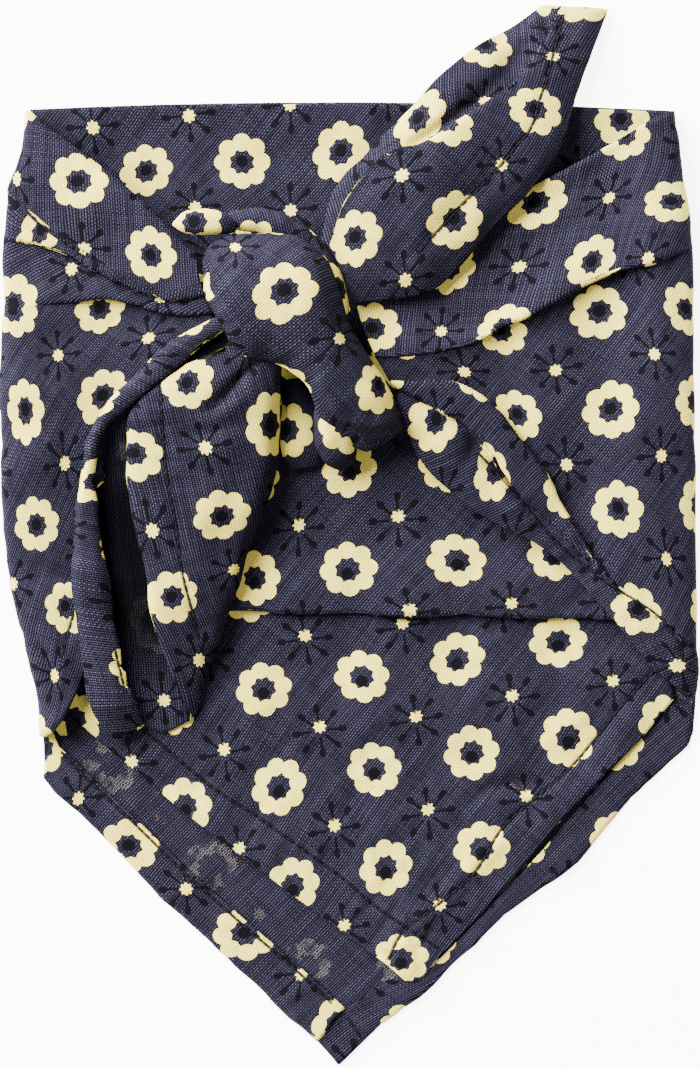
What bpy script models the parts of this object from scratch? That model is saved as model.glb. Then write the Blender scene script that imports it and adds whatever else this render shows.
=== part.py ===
"""A dog bandana: one square of printed cloth with a turned hem all round, folded on its diagonal, wrong sides
together, wrapped round and tied in a knot, and laid down flat on its back with the knot on top.

+Z is up, the table is z = 0, +Y runs from the point of the triangle to its long fold, and the origin lies under
the middle of the outline. Tables are in millimetres, as the bandana lies; every other length is in metres.
"""

import bmesh
import bpy
from mathutils import Vector

MM = 0.001

# Driving dimensions.
CLOTH = 1.0 * MM  # one layer, thickened to a wall
DOUBLE_CLOTH = 1.6 * MM  # the two layers of the folded square, lying together
GAP = 0.3 * MM  # air between neighbouring pieces
INNER_LIFT = 0.5 * CLOTH + CLOTH + GAP  # middle of the inner layer, which lies on the outer one
ROLL_REACH = 8.0  # how far the side roll runs back under the loop, in mm
ROLL_FOOT = 1.05  # middle of the wall where the roll meets the table, in mm
FOLD_RUN = 2.2  # how far a pleat's foot lies from its ridge, in mm

CLOTH_COLOUR = (0.045, 0.05, 0.125, 1.0)
WRONG_SIDE_COLOUR = (0.03, 0.033, 0.085, 1.0)

# Front stretches. Each line runs from the side of the loop to the knot: (x, y, z) of the middle of the wall, where
# the first z is the height of the roll at the side. "drop" is how far the cloth falls just past a pleat's ridge, at
# each of the line's points, and "falls" names the neighbouring line that it falls towards.
RIGHT_FRONT = (
    {"line": "upper fold", "points": ((107.5, 141, 7), (101, 138.5, 8.6), (88, 130.5, 9.8), (67, 119, 10.4),
                                      (46, 107, 11), (23, 92, 12), (1.5, 79, 12.5))},
    {"line": "hollow", "points": ((110.5, 117, 11), (100, 115, 12), (86, 108.5, 11), (67, 97.5, 10.5),
                                  (48, 87, 11), (26, 77, 12), (4, 70, 13.5))},
    {"line": "main pleat", "points": ((113.3, 94, 15), (103, 93.5, 16), (90, 90, 16), (72, 80, 16.5),
                                      (54, 70.5, 17), (35, 60.5, 18), (8.5, 58.5, 17.3)),
     "drop": (0, 0.5, 1.5, 2.5, 2.5, 2, 1), "falls": "next"},
    {"line": "belly", "points": ((114.5, 40, 16), (102, 38, 16.5), (88, 38, 15.5), (71, 40, 14.5),
                                 (55, 47, 14), (38, 53, 15.5), (11, 54.5, 16))},
    {"line": "hem pleat", "points": ((115.6, -39, 9), (104, -29, 10.5), (91, -18, 11.2), (74, 4.5, 12.5),
                                     (57, 30, 15.5), (38, 48, 18), (13.5, 50, 16.5))},
    {"line": "stitched valley", "points": ((115.8, -45, 8), (103.5, -35.5, 9.6), (91, -23.5, 10.2), (69.5, 1, 11),
                                           (51, 17, 14), (34, 34, 16.3), (15, 46.5, 15.5))},
    {"line": "flap", "points": ((115.8, -49.5, 7), (103.5, -41.5, 9.5), (90.5, -27, 10.2), (66.5, -1.5, 11),
                                (47, 10.5, 13.5), (29, 30, 16.5), (16, 43, 14.5))},
    {"line": "hem edge", "points": ((115.8, -54, 6), (103, -47, 9), (88.5, -29.5, 9.8), (64, -4, 9.8),
                                    (44, 6, 10.2), (25, 23, 10.6), (17, 38.5, 11))},
)
LEFT_FRONT = (
    {"line": "upper fold", "points": ((-107.5, 141, 7), (-102, 136.5, 8.6), (-91, 128.5, 10), (-80, 120, 11.5),
                                      (-69, 110.5, 13.5), (-60.5, 102, 15.5), (-51, 92.5, 16))},
    {"line": "first pleat", "points": ((-113.3, 114, 13), (-105, 107.5, 14), (-95, 100, 15), (-82, 93.5, 16),
                                       (-71, 87, 17.2), (-62, 84, 17), (-49.5, 84.5, 16.3)),
     "drop": (0.5, 1.5, 1.5, 0.5, 0, 0, 0), "falls": "next"},
    {"line": "second pleat", "points": ((-115, 96, 14), (-105, 95, 13.5), (-92, 93, 14), (-79.5, 87, 15),
                                        (-69, 81.5, 16.2), (-60.5, 79, 16.6), (-48, 79.5, 16)),
     "drop": (0.5, 1.5, 2, 2, 1.5, 1, 0.5), "falls": "next"},
    {"line": "third pleat", "points": ((-115.2, 74, 16), (-104, 76, 15.5), (-92, 77, 15.5), (-79.5, 78, 16),
                                       (-69, 75, 16.2), (-59, 73.5, 16.3), (-46, 74.8, 15.5)),
     "drop": (0, 0, 0.5, 2.5, 2.5, 2, 1), "falls": "next"},
    {"line": "belly", "points": ((-116, 40, 16), (-104, 42, 16.5), (-91, 44, 16), (-78, 48, 15),
                                 (-67, 54.5, 14.8), (-57, 62, 14.6), (-45, 69.5, 14))},
    {"line": "low valley", "points": ((-113.5, -14, 11), (-104, -14, 11.2), (-95, -10, 11), (-84, 2, 10),
                                      (-72, 18, 10), (-60, 38, 11.5), (-43, 62, 12.8))},
    {"line": "low ridge", "points": ((-107.2, -40, 10), (-101, -38, 11), (-95, -33, 10.8), (-86, -18, 10),
                                     (-74, 1, 9.8), (-61, 24, 10.2), (-41, 56, 11.5))},
    {"line": "hem edge", "points": ((-102.7, -67.5, 6), (-98, -65, 8.8), (-92.5, -56, 9.8), (-84.5, -36, 9.8),
                                    (-73, -12, 9.6), (-59.5, 14, 9.8), (-39, 50, 10.5))},
)

# The loose ends. Each line runs from the knot to the tip: (x, y, z) of the middle of the wall.
RIGHT_TAIL = (
    {"line": "fold", "points": ((-9.5, 97.5, 16.5), (-4.5, 114.5, 17), (8, 129, 15.5), (20, 141.5, 12.5),
                                (36.5, 158, 8), (52, 168.5, 3.5), (64.5, 177, 1.6))},
    {"line": "turned strip", "points": ((-7.5, 95, 18), (1, 110.5, 20), (12, 125, 18.5), (24, 135, 15.5),
                                        (39, 151, 12), (55.5, 165, 6.5), (67, 176.7, 2.4))},
    {"line": "pleat", "points": ((-5.5, 92, 18.5), (5, 106, 22), (17, 121.5, 21.5), (28.5, 129.5, 19),
                                 (43, 138.5, 15.5), (61, 155, 8.5), (71, 176.4, 2.6)),
     "drop": (0, 0.5, 2, 2.5, 2, 0.5, 0), "falls": "previous"},
    {"line": "face", "points": ((-2.5, 86.5, 18.8), (15, 99, 22.5), (29, 111.5, 21.5), (42, 120.5, 19.2),
                                (56, 133, 15.5), (69.5, 155.5, 8), (78, 176, 2.6))},
    {"line": "stitched shoulder", "points": ((0, 81, 18), (25, 88, 20), (40.5, 102.5, 18.5), (53, 114, 16.5),
                                             (65.5, 129.5, 13), (75, 155, 6.5), (83, 175.8, 2.2))},
    {"line": "hem edge", "points": ((2, 76.5, 16.5), (28, 81.5, 16.5), (45, 99, 15.5), (57.5, 112.5, 13.5),
                                    (69, 128, 10.8), (78, 154.5, 4.8), (86.2, 175.5, 1.2))},
)
LEFT_TAIL = (
    {"line": "outer edge", "points": ((-43, 72.5, 16.3), (-73.5, 50, 19), (-84.5, 36.5, 18.5), (-90.5, 10, 15.5),
                                      (-92, -15, 14), (-89.5, -36.5, 12.2), (-87.5, -53, 10.8), (-81, -67, 7))},
    {"line": "strip", "points": ((-41, 70.5, 17.5), (-74, 46.5, 22), (-83.5, 34.5, 21.5), (-88.5, 10, 18.5),
                                 (-88.5, -13, 16.5), (-85.5, -36, 14.5), (-82, -52.5, 12.5), (-77, -67.8, 6.8))},
    {"line": "strip lip", "points": ((-39.5, 68.5, 18), (-74, 42, 21.5), (-81, 31.5, 20), (-85.3, 10, 17.5),
                                     (-81.5, -10, 15.5), (-78, -35, 13.5), (-73.5, -51.5, 11), (-69, -63.5, 5.5))},
    {"line": "trough", "points": ((-38, 66.5, 17.8), (-73.8, 39.5, 19.5), (-77.5, 30, 16.5), (-79, 10, 13.5),
                                  (-75, -11, 12), (-70.5, -35, 10.5), (-64.5, -52, 7.5), (-62, -66.3, 4.4))},
    {"line": "face lip", "points": ((-36.5, 65, 18), (-72.5, 37.5, 20.5), (-73.5, 28.5, 19.8), (-72.5, 11, 18),
                                    (-67.5, -13.5, 15.5), (-63, -35, 12.5), (-56.5, -52.5, 8), (-54.5, -62.5, 4.2))},
    {"line": "face", "points": ((-30.5, 60.5, 18.3), (-50, 41.5, 22.5), (-50, 28, 21.3), (-50.5, 11, 19),
                                (-52.5, -13.5, 15.5), (-53.5, -34.5, 11.5), (-53.5, -52.3, 7.2), (-53.5, -61.5, 3.8))},
    {"line": "right shoulder", "points": ((-24.5, 56.8, 17.3), (-28, 43, 20), (-28, 27.5, 18.5), (-32, 11.3, 16),
                                          (-39.5, -13.7, 12.8), (-46, -34.4, 9), (-51.5, -52.2, 6), (-52.8, -61, 3.6))},
    {"line": "right edge", "points": ((-22.8, 55.3, 15.5), (-23.3, 43, 14.5), (-23.5, 27, 12), (-28, 11.3, 10.2),
                                      (-36.5, -13.7, 8.6), (-43.2, -34.3, 6.4), (-50.2, -52, 4.6), (-52.2, -60.7, 3.4))},
)

# The knot's outer wrap, on the layers it hides: sections across it from its upper left to its lower right end.
# Each has the wrap's two edges, its crown, the height of its rim and that of its foot.
KNOT = (
    {"upper": (-49.5, 94), "crown": (-51, 89.5, 23.5), "lower": (-52, 85), "rim": 21, "foot": 19},
    {"upper": (-38, 100.5), "crown": (-39.5, 87, 32), "lower": (-47, 74), "rim": 20.5, "foot": 15},
    {"upper": (-22, 100), "crown": (-28, 82.5, 35), "lower": (-37, 61.5), "rim": 21, "foot": 7},
    {"upper": (-7.5, 91), "crown": (-17.5, 75, 34.5), "lower": (-27, 56.7), "rim": 21, "foot": 6},
    {"upper": (0, 73), "crown": (-9, 64, 33), "lower": (-18.5, 52.5), "rim": 21, "foot": 6},
    {"upper": (8.5, 57), "crown": (0, 51, 30.5), "lower": (-11.8, 44.5), "rim": 20, "foot": 6},
    {"upper": (17, 41), "crown": (6.5, 38.5, 27), "lower": (-11, 35), "rim": 18.5, "foot": 7},
    {"upper": (13.5, 32), "crown": (4, 30.5, 21.5), "lower": (-8, 28), "rim": 16, "foot": 8},
    {"upper": (5, 24.5), "crown": (-1, 24, 15.5), "lower": (-5, 23), "rim": 13, "foot": 10},
)
KNOT_INSET = 0.3  # how far the hidden layers stand back under the wrap's rim, as a share of its half width
KNOT_RIM = 1.5  # depth of the rim, in mm
# The strand that shows behind the wrap, as a row of sections.
KNOT_BACK = (
    {"at": (-42.5, 103), "size": (2.5, 3), "height": 14},
    {"at": (-36.5, 103.8), "size": (4, 5), "height": 13.5},
    {"at": (-28.5, 103.5), "size": (4.2, 5), "height": 13.5},
    {"at": (-20.5, 100.5), "size": (3.8, 5), "height": 13.5},
    {"at": (-14, 96.5), "size": (2.8, 4), "height": 13.5},
    {"at": (-10.5, 93), "size": (1.4, 2), "height": 13.5},
)
# The strand that drops out below the wrap, beside the left tail.
KNOT_UNDER = (
    {"at": (-15.5, 49), "size": (4, 4), "height": 11},
    {"at": (-14.8, 42), "size": (6, 5.5), "height": 11},
    {"at": (-14.4, 34), "size": (6.6, 5.5), "height": 10.5},
    {"at": (-13.8, 27), "size": (6.2, 5), "height": 9.5},
    {"at": (-13, 22), "size": (4, 3), "height": 8.5},
)
# The small tuck above the left front where it goes into the knot.
KNOT_TUCK = (
    {"at": (-59, 100), "size": (1.4, 1.2), "height": 20},
    {"at": (-54, 102), "size": (3.2, 2.6), "height": 20.8},
    {"at": (-48, 104.5), "size": (3.6, 2.8), "height": 20.8},
    {"at": (-42.5, 106.5), "size": (2.2, 1.8), "height": 20.3},
)

# The inner layer of the triangle: rows from the long fold to the point, each from its left to its right end.
INNER_ROWS = (
    {"row": "long fold", "left": (-98.6, 141.2), "right": (98.6, 140.6), "bow": 3, "lift": 0},
    {"row": "neck", "left": (-104, 100), "right": (103, 100), "bow": 1, "lift": 0},
    {"row": "middle", "left": (-106.5, 40), "right": (105, 40), "bow": 0, "lift": 0},
    {"row": "pleat rise", "left": (-104.5, 0), "right": (106, 0), "bow": 0, "lift": 0.4},
    {"row": "pleat ridge", "left": (-98, -24), "right": (106, -28), "bow": 0, "lift": 1.1},
    {"row": "pleat foot", "left": (-97.5, -26.5), "right": (106, -30.5), "bow": 0, "lift": 0},
    {"row": "hem corners", "left": (-95.5, -59), "right": (105, -57.5), "bow": 0, "lift": 0},
    {"row": "left bend", "left": (-63, -87), "right": (89, -76), "bow": 0, "lift": 0},
    {"row": "right bend", "left": (-28, -114), "right": (64.5, -104.5), "bow": 0, "lift": 0},
    {"row": "narrow", "left": (-3, -133), "right": (45, -126), "bow": 0, "lift": 0},
    {"row": "near point", "left": (12.5, -144.2), "right": (29.5, -141.5), "bow": 0, "lift": 0},
    {"row": "point", "left": (20.2, -149.6), "right": (21.6, -149.8), "bow": 0, "lift": 0},
)

# The outer layer's outline, from the left end of the long fold round by the point: it fills the loop between the
# side rolls, and below them it runs out to its own hemmed edges.
OUTER_OUTLINE = (
    (-98.6, 142), (-103, 118), (-106, 97), (-107, 40), (-104.4, -14), (-98.2, -40), (-93.6, -66),
    (-94.6, -69.3), (-102, -70.5), (-102, -81), (-99, -86), (-94, -87), (-83, -101), (-63.5, -121.5),
    (-41.5, -141.5), (-20, -161.5), (-10, -170), (-3.8, -177.9), (10.5, -164), (23, -155), (52, -127.5),
    (75.5, -108.5), (94, -88.5), (104.5, -75), (112.5, -70.5), (115, -56.3), (106.8, -55.7), (106.6, -40),
    (106.2, -14), (105.4, 40), (104.2, 97), (101.4, 118), (98.6, 141.5), (60, 144), (-20, 145.2), (-60, 144.6),
)
# Its hem, turned up on to its wrong side: the strips that show past the inner layer.
LEFT_HEM_OUTLINE = (
    (-101.6, -72.5), (-101.6, -81), (-98.8, -85.6), (-93.7, -86.7), (-82.7, -100.7), (-63.2, -121.1),
    (-41.2, -141.1), (-19.7, -161.1), (-13.2, -166.6), (-4.2, -158), (-25, -137.5), (-54.5, -112),
    (-73.5, -94), (-88, -79.5), (-96.5, -71),
)
RIGHT_HEM_OUTLINE = (
    (114.6, -57), (112, -70.1), (104.2, -74.7), (93.7, -88.2), (75.2, -108.2), (51.8, -127.1), (22.8, -154.6),
    (10.3, -163.6), (-3.8, -177.4), (-12.6, -167.2), (-3.6, -158.6), (8, -149.5), (11.5, -144.6),
    (21.8, -151.6), (30.2, -141.9), (45.6, -126.4), (65.1, -104.8), (89.6, -76.3), (106, -57.6),
)

STATIONS = 22  # samples from one end of a stretch to the other
PER_SPAN = 2  # samples from one line to the next
ROLL_SHAPE = ((-1.0, 0.0), (-0.45, 0.0), (-0.1, 0.17), (0.0, 0.5), (-0.12, 0.85))


def clear_scene():
    for thing in list(bpy.data.objects):
        bpy.data.objects.remove(thing)


def material(name, colour):
    made = bpy.data.materials.new(name)
    made.use_nodes = True
    shader = made.node_tree.nodes["Principled BSDF"]
    shader.inputs["Base Color"].default_value = colour
    shader.inputs["Roughness"].default_value = 0.85
    shader.inputs["Metallic"].default_value = 0.0
    return made


def smooth_through(points, count):
    """count samples of the centripetal Catmull-Rom curve through the points."""
    points = [Vector(p) for p in points]
    ends = [2 * points[0] - points[1], *points, 2 * points[-1] - points[-2]]
    samples = []
    for i in range(count):
        place = i * (len(points) - 1) / (count - 1)
        k = min(int(place), len(points) - 2)
        a, b, c, d = ends[k : k + 4]
        t1 = max((b - a).length, 1e-6) ** 0.5
        t2 = t1 + max((c - b).length, 1e-6) ** 0.5
        t3 = t2 + max((d - c).length, 1e-6) ** 0.5
        t = t1 + (place - k) * (t2 - t1)
        ab = a * ((t1 - t) / t1) + b * (t / t1)
        bc = b * ((t2 - t) / (t2 - t1)) + c * ((t - t1) / (t2 - t1))
        cd = c * ((t3 - t) / (t3 - t2)) + d * ((t - t2) / (t3 - t2))
        abc = ab * ((t2 - t) / t2) + bc * (t / t2)
        bcd = bc * ((t3 - t) / (t3 - t1)) + cd * ((t - t1) / (t3 - t1))
        samples.append(abc * ((t2 - t) / (t2 - t1)) + bcd * ((t - t1) / (t2 - t1)))
    return samples


def rolled(points):
    """A front line with the side roll before it: from the table, round the side and up on top of the loop."""
    x, y, height = points[0]
    side = 1 if x > 0 else -1
    top = height - ROLL_FOOT
    reach = ROLL_REACH
    roll = [(x + side * reach * along, y, ROLL_FOOT + top * up) for along, up in ROLL_SHAPE]
    return [*roll, *points[1:]]


def with_pleats(lines, prepare=list):
    """The samples of each line, and beside those of a pleat's ridge, on the side it falls to, its foot's."""
    ridges = [smooth_through(prepare(line["points"]), STATIONS) for line in lines]
    rails = []
    for i, line in enumerate(lines):
        if "drop" not in line:
            rails.append(ridges[i])
            continue
        falls_on = line["falls"] == "next"
        neighbour = ridges[i + 1 if falls_on else i - 1]
        roll_points = len(prepare(line["points"])) - len(line["points"])
        foot = pleat_foot(ridges[i], neighbour, [0.0] * roll_points + list(line["drop"]))
        rails += [ridges[i], foot] if falls_on else [foot, ridges[i]]
    return rails


def pleat_foot(ridge, neighbour, drops):
    """Samples a short way from the ridge towards its neighbour, and lower by the drop there."""
    foot = []
    for i, (on_ridge, beyond) in enumerate(zip(ridge, neighbour)):
        place = i * (len(drops) - 1) / (len(ridge) - 1)
        k = min(int(place), len(drops) - 2)
        drop = drops[k] + (drops[k + 1] - drops[k]) * (place - k)
        across = beyond - on_ridge
        share = min(FOLD_RUN, 0.4 * across.xy.length) / across.xy.length
        foot.append(on_ridge + across * share - Vector((0, 0, drop)))
    return foot


def mesh_object(name, bm, finish, collection):
    mesh = bpy.data.meshes.new(name)
    bm.to_mesh(mesh)
    bm.free()
    mesh.materials.append(finish)
    mesh.shade_smooth()
    made = bpy.data.objects.new(name, mesh)
    collection.objects.link(made)
    return made


def grid(rows):
    """A bmesh grid with a vertex for each point of the rows, which are in millimetres."""
    bm = bmesh.new()
    columns = len(rows[0])
    bmesh.ops.create_grid(bm, x_segments=columns - 1, y_segments=len(rows) - 1, size=1)
    bm.verts.ensure_lookup_table()
    for i, row in enumerate(rows):
        for j, point in enumerate(row):
            bm.verts[i * columns + j].co = Vector(point) * MM
    return bm


def cloth_wall(name, rails, thickness, finish, collection):
    """The wall of cloth strung smoothly across the rails."""
    across = (len(rails) - 1) * PER_SPAN + 1
    rows = [smooth_through([rail[i] for rail in rails], across) for i in range(len(rails[0]))]
    made = mesh_object(name, grid(rows), finish, collection)
    wall = made.modifiers.new("cloth", "SOLIDIFY")
    wall.thickness = thickness
    wall.offset = 0.0
    return made


def close_tube(bm):
    bmesh.ops.remove_doubles(bm, verts=bm.verts, dist=1e-6)
    bmesh.ops.holes_fill(bm, edges=bm.edges)
    bmesh.ops.recalc_face_normals(bm, faces=bm.faces)
    return bm


def knot(finish, collection):
    """The wrap and the layers hidden under it, as one rounded solid."""
    rings = []
    for s in KNOT:
        upper, lower, crown = Vector(s["upper"]), Vector(s["lower"]), Vector(s["crown"])
        middle, rim = crown.xy, s["rim"]
        shoulder = rim + 0.72 * (crown.z - rim)
        upper_core, lower_core = (edge.lerp(middle, KNOT_INSET) for edge in (upper, lower))
        ring = [
            (*upper, rim),
            (*upper.lerp(middle, 0.3), shoulder),
            tuple(crown),
            (*lower.lerp(middle, 0.3), shoulder),
            (*lower, rim),
            (*lower_core, rim - KNOT_RIM),
            (*lower_core, s["foot"]),
            (*upper_core, s["foot"]),
            (*upper_core, rim - KNOT_RIM),
        ]
        rings.append([*ring, ring[0]])
    lengthways = [smooth_through(line, 20) for line in zip(*rings)]
    rows = [smooth_through([line[i] for line in lengthways], 28) for i in range(20)]
    return mesh_object("knot", close_tube(grid(rows)), finish, collection)


def strand(name, sections, finish, collection):
    """A short rounded strand of gathered cloth, through elliptical sections across its run."""
    spots = [Vector((*s["at"], s["height"])) for s in sections]
    rings = []
    for i, s in enumerate(sections):
        run = (spots[min(i + 1, len(spots) - 1)] - spots[max(i - 1, 0)]).normalized()
        sideways = run.cross(Vector((0, 0, 1))).normalized()
        half_width, half_height = s["size"]
        corners = ((1, 0), (0.7, 0.7), (0, 1), (-0.7, 0.7), (-1, 0), (-0.7, -0.7), (0, -1), (0.7, -0.7), (1, 0))
        rings.append([spots[i] + sideways * half_width * c + Vector((0, 0, half_height * h)) for c, h in corners])
    lengthways = [smooth_through(line, 12) for line in zip(*rings)]
    rows = [[line[i] for line in lengthways] for i in range(12)]
    return mesh_object(name, close_tube(grid(rows)), finish, collection)


def flat_piece(name, outline, bottom, thickness, finish, collection):
    """A flat piece of cloth: a filled outline, extruded to a wall."""
    curve = bpy.data.curves.new(name, "CURVE")
    curve.dimensions = "2D"
    curve.fill_mode = "BOTH"
    curve.extrude = thickness / 2
    edge = curve.splines.new("POLY")
    edge.points.add(len(outline) - 1)
    edge.use_cyclic_u = True
    for point, (x, y) in zip(edge.points, outline):
        point.co = (x * MM, y * MM, 0, 1)
    curve.materials.append(finish)
    made = bpy.data.objects.new(name, curve)
    made.location.z = bottom + thickness / 2
    collection.objects.link(made)
    return made


def inner_layer(finish, collection):
    """The inner layer of the triangle, lying on the outer one, with the long pleat across it."""
    rails = []
    for row in INNER_ROWS:
        left, right = Vector(row["left"]), Vector(row["right"])
        height = INNER_LIFT / MM + row["lift"]
        middle = left.lerp(right, 0.5) + Vector((0, row["bow"]))
        rails.append([(*left, height), (*middle, height), (*right, height)])
    across = 13
    rows = [[*smooth_through(rail, across)] for rail in rails]
    made = mesh_object("inner_panel", grid(rows), finish, collection)
    wall = made.modifiers.new("cloth", "SOLIDIFY")
    wall.thickness = CLOTH
    wall.offset = 0.0
    return made


def build():
    clear_scene()
    collection = bpy.data.collections.new("dog_bandana")
    bpy.context.scene.collection.children.link(collection)
    printed = material("printed_cloth", CLOTH_COLOUR)
    wrong_side = material("wrong_side", WRONG_SIDE_COLOUR)
    flat_piece("outer_panel", OUTER_OUTLINE, 0.0, CLOTH, wrong_side, collection)
    hem_bottom = CLOTH + GAP
    flat_piece("outer_hem_left", LEFT_HEM_OUTLINE, hem_bottom, CLOTH, printed, collection)
    flat_piece("outer_hem_right", RIGHT_HEM_OUTLINE, hem_bottom, CLOTH, printed, collection)
    inner_layer(printed, collection)
    for name, lines in (("front_left", LEFT_FRONT), ("front_right", RIGHT_FRONT)):
        cloth_wall(name, with_pleats(lines, rolled), DOUBLE_CLOTH, printed, collection)
    for name, lines in (("tail_left", LEFT_TAIL), ("tail_right", RIGHT_TAIL)):
        cloth_wall(name, with_pleats(lines), DOUBLE_CLOTH, printed, collection)
    knot(printed, collection)
    strand("knot_back", KNOT_BACK, printed, collection)
    strand("knot_under", KNOT_UNDER, printed, collection)
    strand("knot_tuck", KNOT_TUCK, printed, collection)


build()
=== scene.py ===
import math

import bpy
import numpy as np
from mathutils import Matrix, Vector
from mathutils.bvhtree import BVHTree


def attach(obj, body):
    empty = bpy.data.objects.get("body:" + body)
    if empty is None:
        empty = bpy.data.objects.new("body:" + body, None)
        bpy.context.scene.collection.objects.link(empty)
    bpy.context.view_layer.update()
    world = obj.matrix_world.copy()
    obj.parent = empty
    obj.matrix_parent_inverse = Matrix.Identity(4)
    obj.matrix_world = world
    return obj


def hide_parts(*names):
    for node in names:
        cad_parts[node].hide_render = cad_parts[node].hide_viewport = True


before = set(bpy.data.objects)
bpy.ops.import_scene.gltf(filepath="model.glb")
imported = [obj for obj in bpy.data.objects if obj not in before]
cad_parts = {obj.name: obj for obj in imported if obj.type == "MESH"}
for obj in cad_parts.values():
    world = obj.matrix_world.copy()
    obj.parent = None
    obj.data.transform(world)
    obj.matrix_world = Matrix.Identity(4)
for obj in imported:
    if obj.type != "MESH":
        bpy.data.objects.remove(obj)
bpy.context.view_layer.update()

# The looks of a dog bandana: a square of printed cloth, folded on its diagonal and hemmed all round, tied and
# laid down flat. Each stretch that shows is a thin sheet strung over the same lines as its solid, in the
# part's frame. Lengths are in millimetres, unless a comment says otherwise.

MM = 0.001
SINGLE = 0.55  # one layer of cloth, with its nap
DOUBLE = 1.0  # the two layers of the folded square
ALONG, ACROSS = ((14, 10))  # samples from point to point of a line, and between lines
PANEL_ALONG, PANEL_ACROSS = ((150, 14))  # samples of a panel's row, and between rows
LINE_STEPS, STITCH_STEPS = 6, 24  # samples from point to point of a crease or seam, and of a row of stitches

# The roll at each side, from the table round the side and up on top of the loop.
ROLL_REACH, ROLL_FOOT = 8.0, 0.9  # how far it stands out, and its lowest height
ROLL_SHAPE = ((-1, 0), (-0.45, 0), (-0.1, 0.17), (0, 0.5), (-0.12, 0.85))  # shares of reach and of height
ROLLED_POINTS = 6  # points of a rolled line before the one from which its cloth lies flat

# A pleat's foot is tucked in under its ridge by FOLD_UNDER where the pleat drops by FOLD_FULL or more, and
# lies out beyond it where the pleat doesn't drop.
FOLD_UNDER, FOLD_FULL, FOLD_BEYOND = 0.5, 0.6, 0.4
FOLD_MOST = 0.4  # the most that it goes under, as a share of the way to the next line
HIDDEN_SHARE = 0.6  # how much of the cloth that runs up and down in folds counts in how the print lies
HOLLOW_DARK = ((1.4, 1), (2, 0.2), (3, 0.5), (4, 1), (5.8, 1), (7.2, 0))  # points of a trough, and its shade
TROUGH_ROWS, TROUGH_POINTS = (2.05, 5.5), (2, 6.6)  # where the left tail's trough shows the wrong side

# The cloth's own softness, and how it is pressed in at a seam and puckers beside it. An end is the share of a
# seam's length that is left plain at each end.
SOFT_WAVES = ((34, 0.22), (19, 0.14), (9, 0.06), (5.5, 0.03))  # length and depth
WAVES_EACH, WAVE_SPREAD = 4, (0.8, 1.25)  # waves of each kind, and how their lengths vary
SEAM_DEPTH, SEAM_WIDTH, SEAM_END = 0.4, 1.2, 0.004
PUCKER_DEPTH, PUCKER_WIDTH = 0.22, 4.5
PUCKER_WAVES = ((0.9, 1.0, 0.0), (1.7, 0.6, 1.0))  # radians per mm, share and start
GROOVE_REACH, GROOVE_END = 4, 0.003  # a seam's groove, with its painted shade, is sought this near to it
LOWEST, OUTER_SINK = 0.3, 0.1  # least height above the table, and the most that the outer panel sinks
HEM_FOOT, HEM_FOLD = 0.6, 0.1  # height of a hem's fold, and the share of its width that rises from it

# The print and the weave, on flat cloth.
REPEAT = 23.0  # from a flower to the next star
WARP, WEFT = 0.85, 0.61  # from one thread to the next, over and across
PETAL_RING, PETAL, FLOWER_HOLE, FLOWER_POINT, FLOWER_EYE = 6.3, 2.95, 3.55, 0.85, 2.05  # radii
STAR_CENTRE, STAR_WAVE, STAMEN_START, STAMEN_TIP = 1.95, 0.3, 2.5, 7.5  # radii
STAMEN_WIDTH, TIP_LENGTH, TIP_WIDTH = 0.42, 1.6, 1.05  # half sizes
PRINT_EDGE, PRINT_RAGGED = 0.08, 0.5  # how soft and how ragged the print's edge is
SLIP = (0.3, -0.2)  # how far the black is printed off the cream
FRONT_SLIP = (-0.8, 1.1)  # the same where a print has slip 1
SEEN_NEAR = 0.7  # a mark goes by the highest cloth that is no further from it than the nearest by this much
PULL_REACH, PULL_GIVE = 32.0, 0.05  # how far round a mark the print is drawn to it, and how loosely

# Stitches, as threads laid on the cloth.
STITCH, STITCH_STEP, STITCH_START, STITCH_RADIUS, STITCH_SIDES = 2.4, 3.0, 0.5, 0.3, 6
STITCH_RISE = (-0.12, 0.08, 0.12, 0.08, -0.12)  # of its middle above the cloth, from end to end


def table(columns, *rows):
    """Rows with named columns. A row may leave out the last ones."""
    return [dict(zip(columns.split(), row)) for row in rows]


def tables(columns, **groups):
    return {name: table(columns, *rows) for name, rows in groups.items()}


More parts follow.
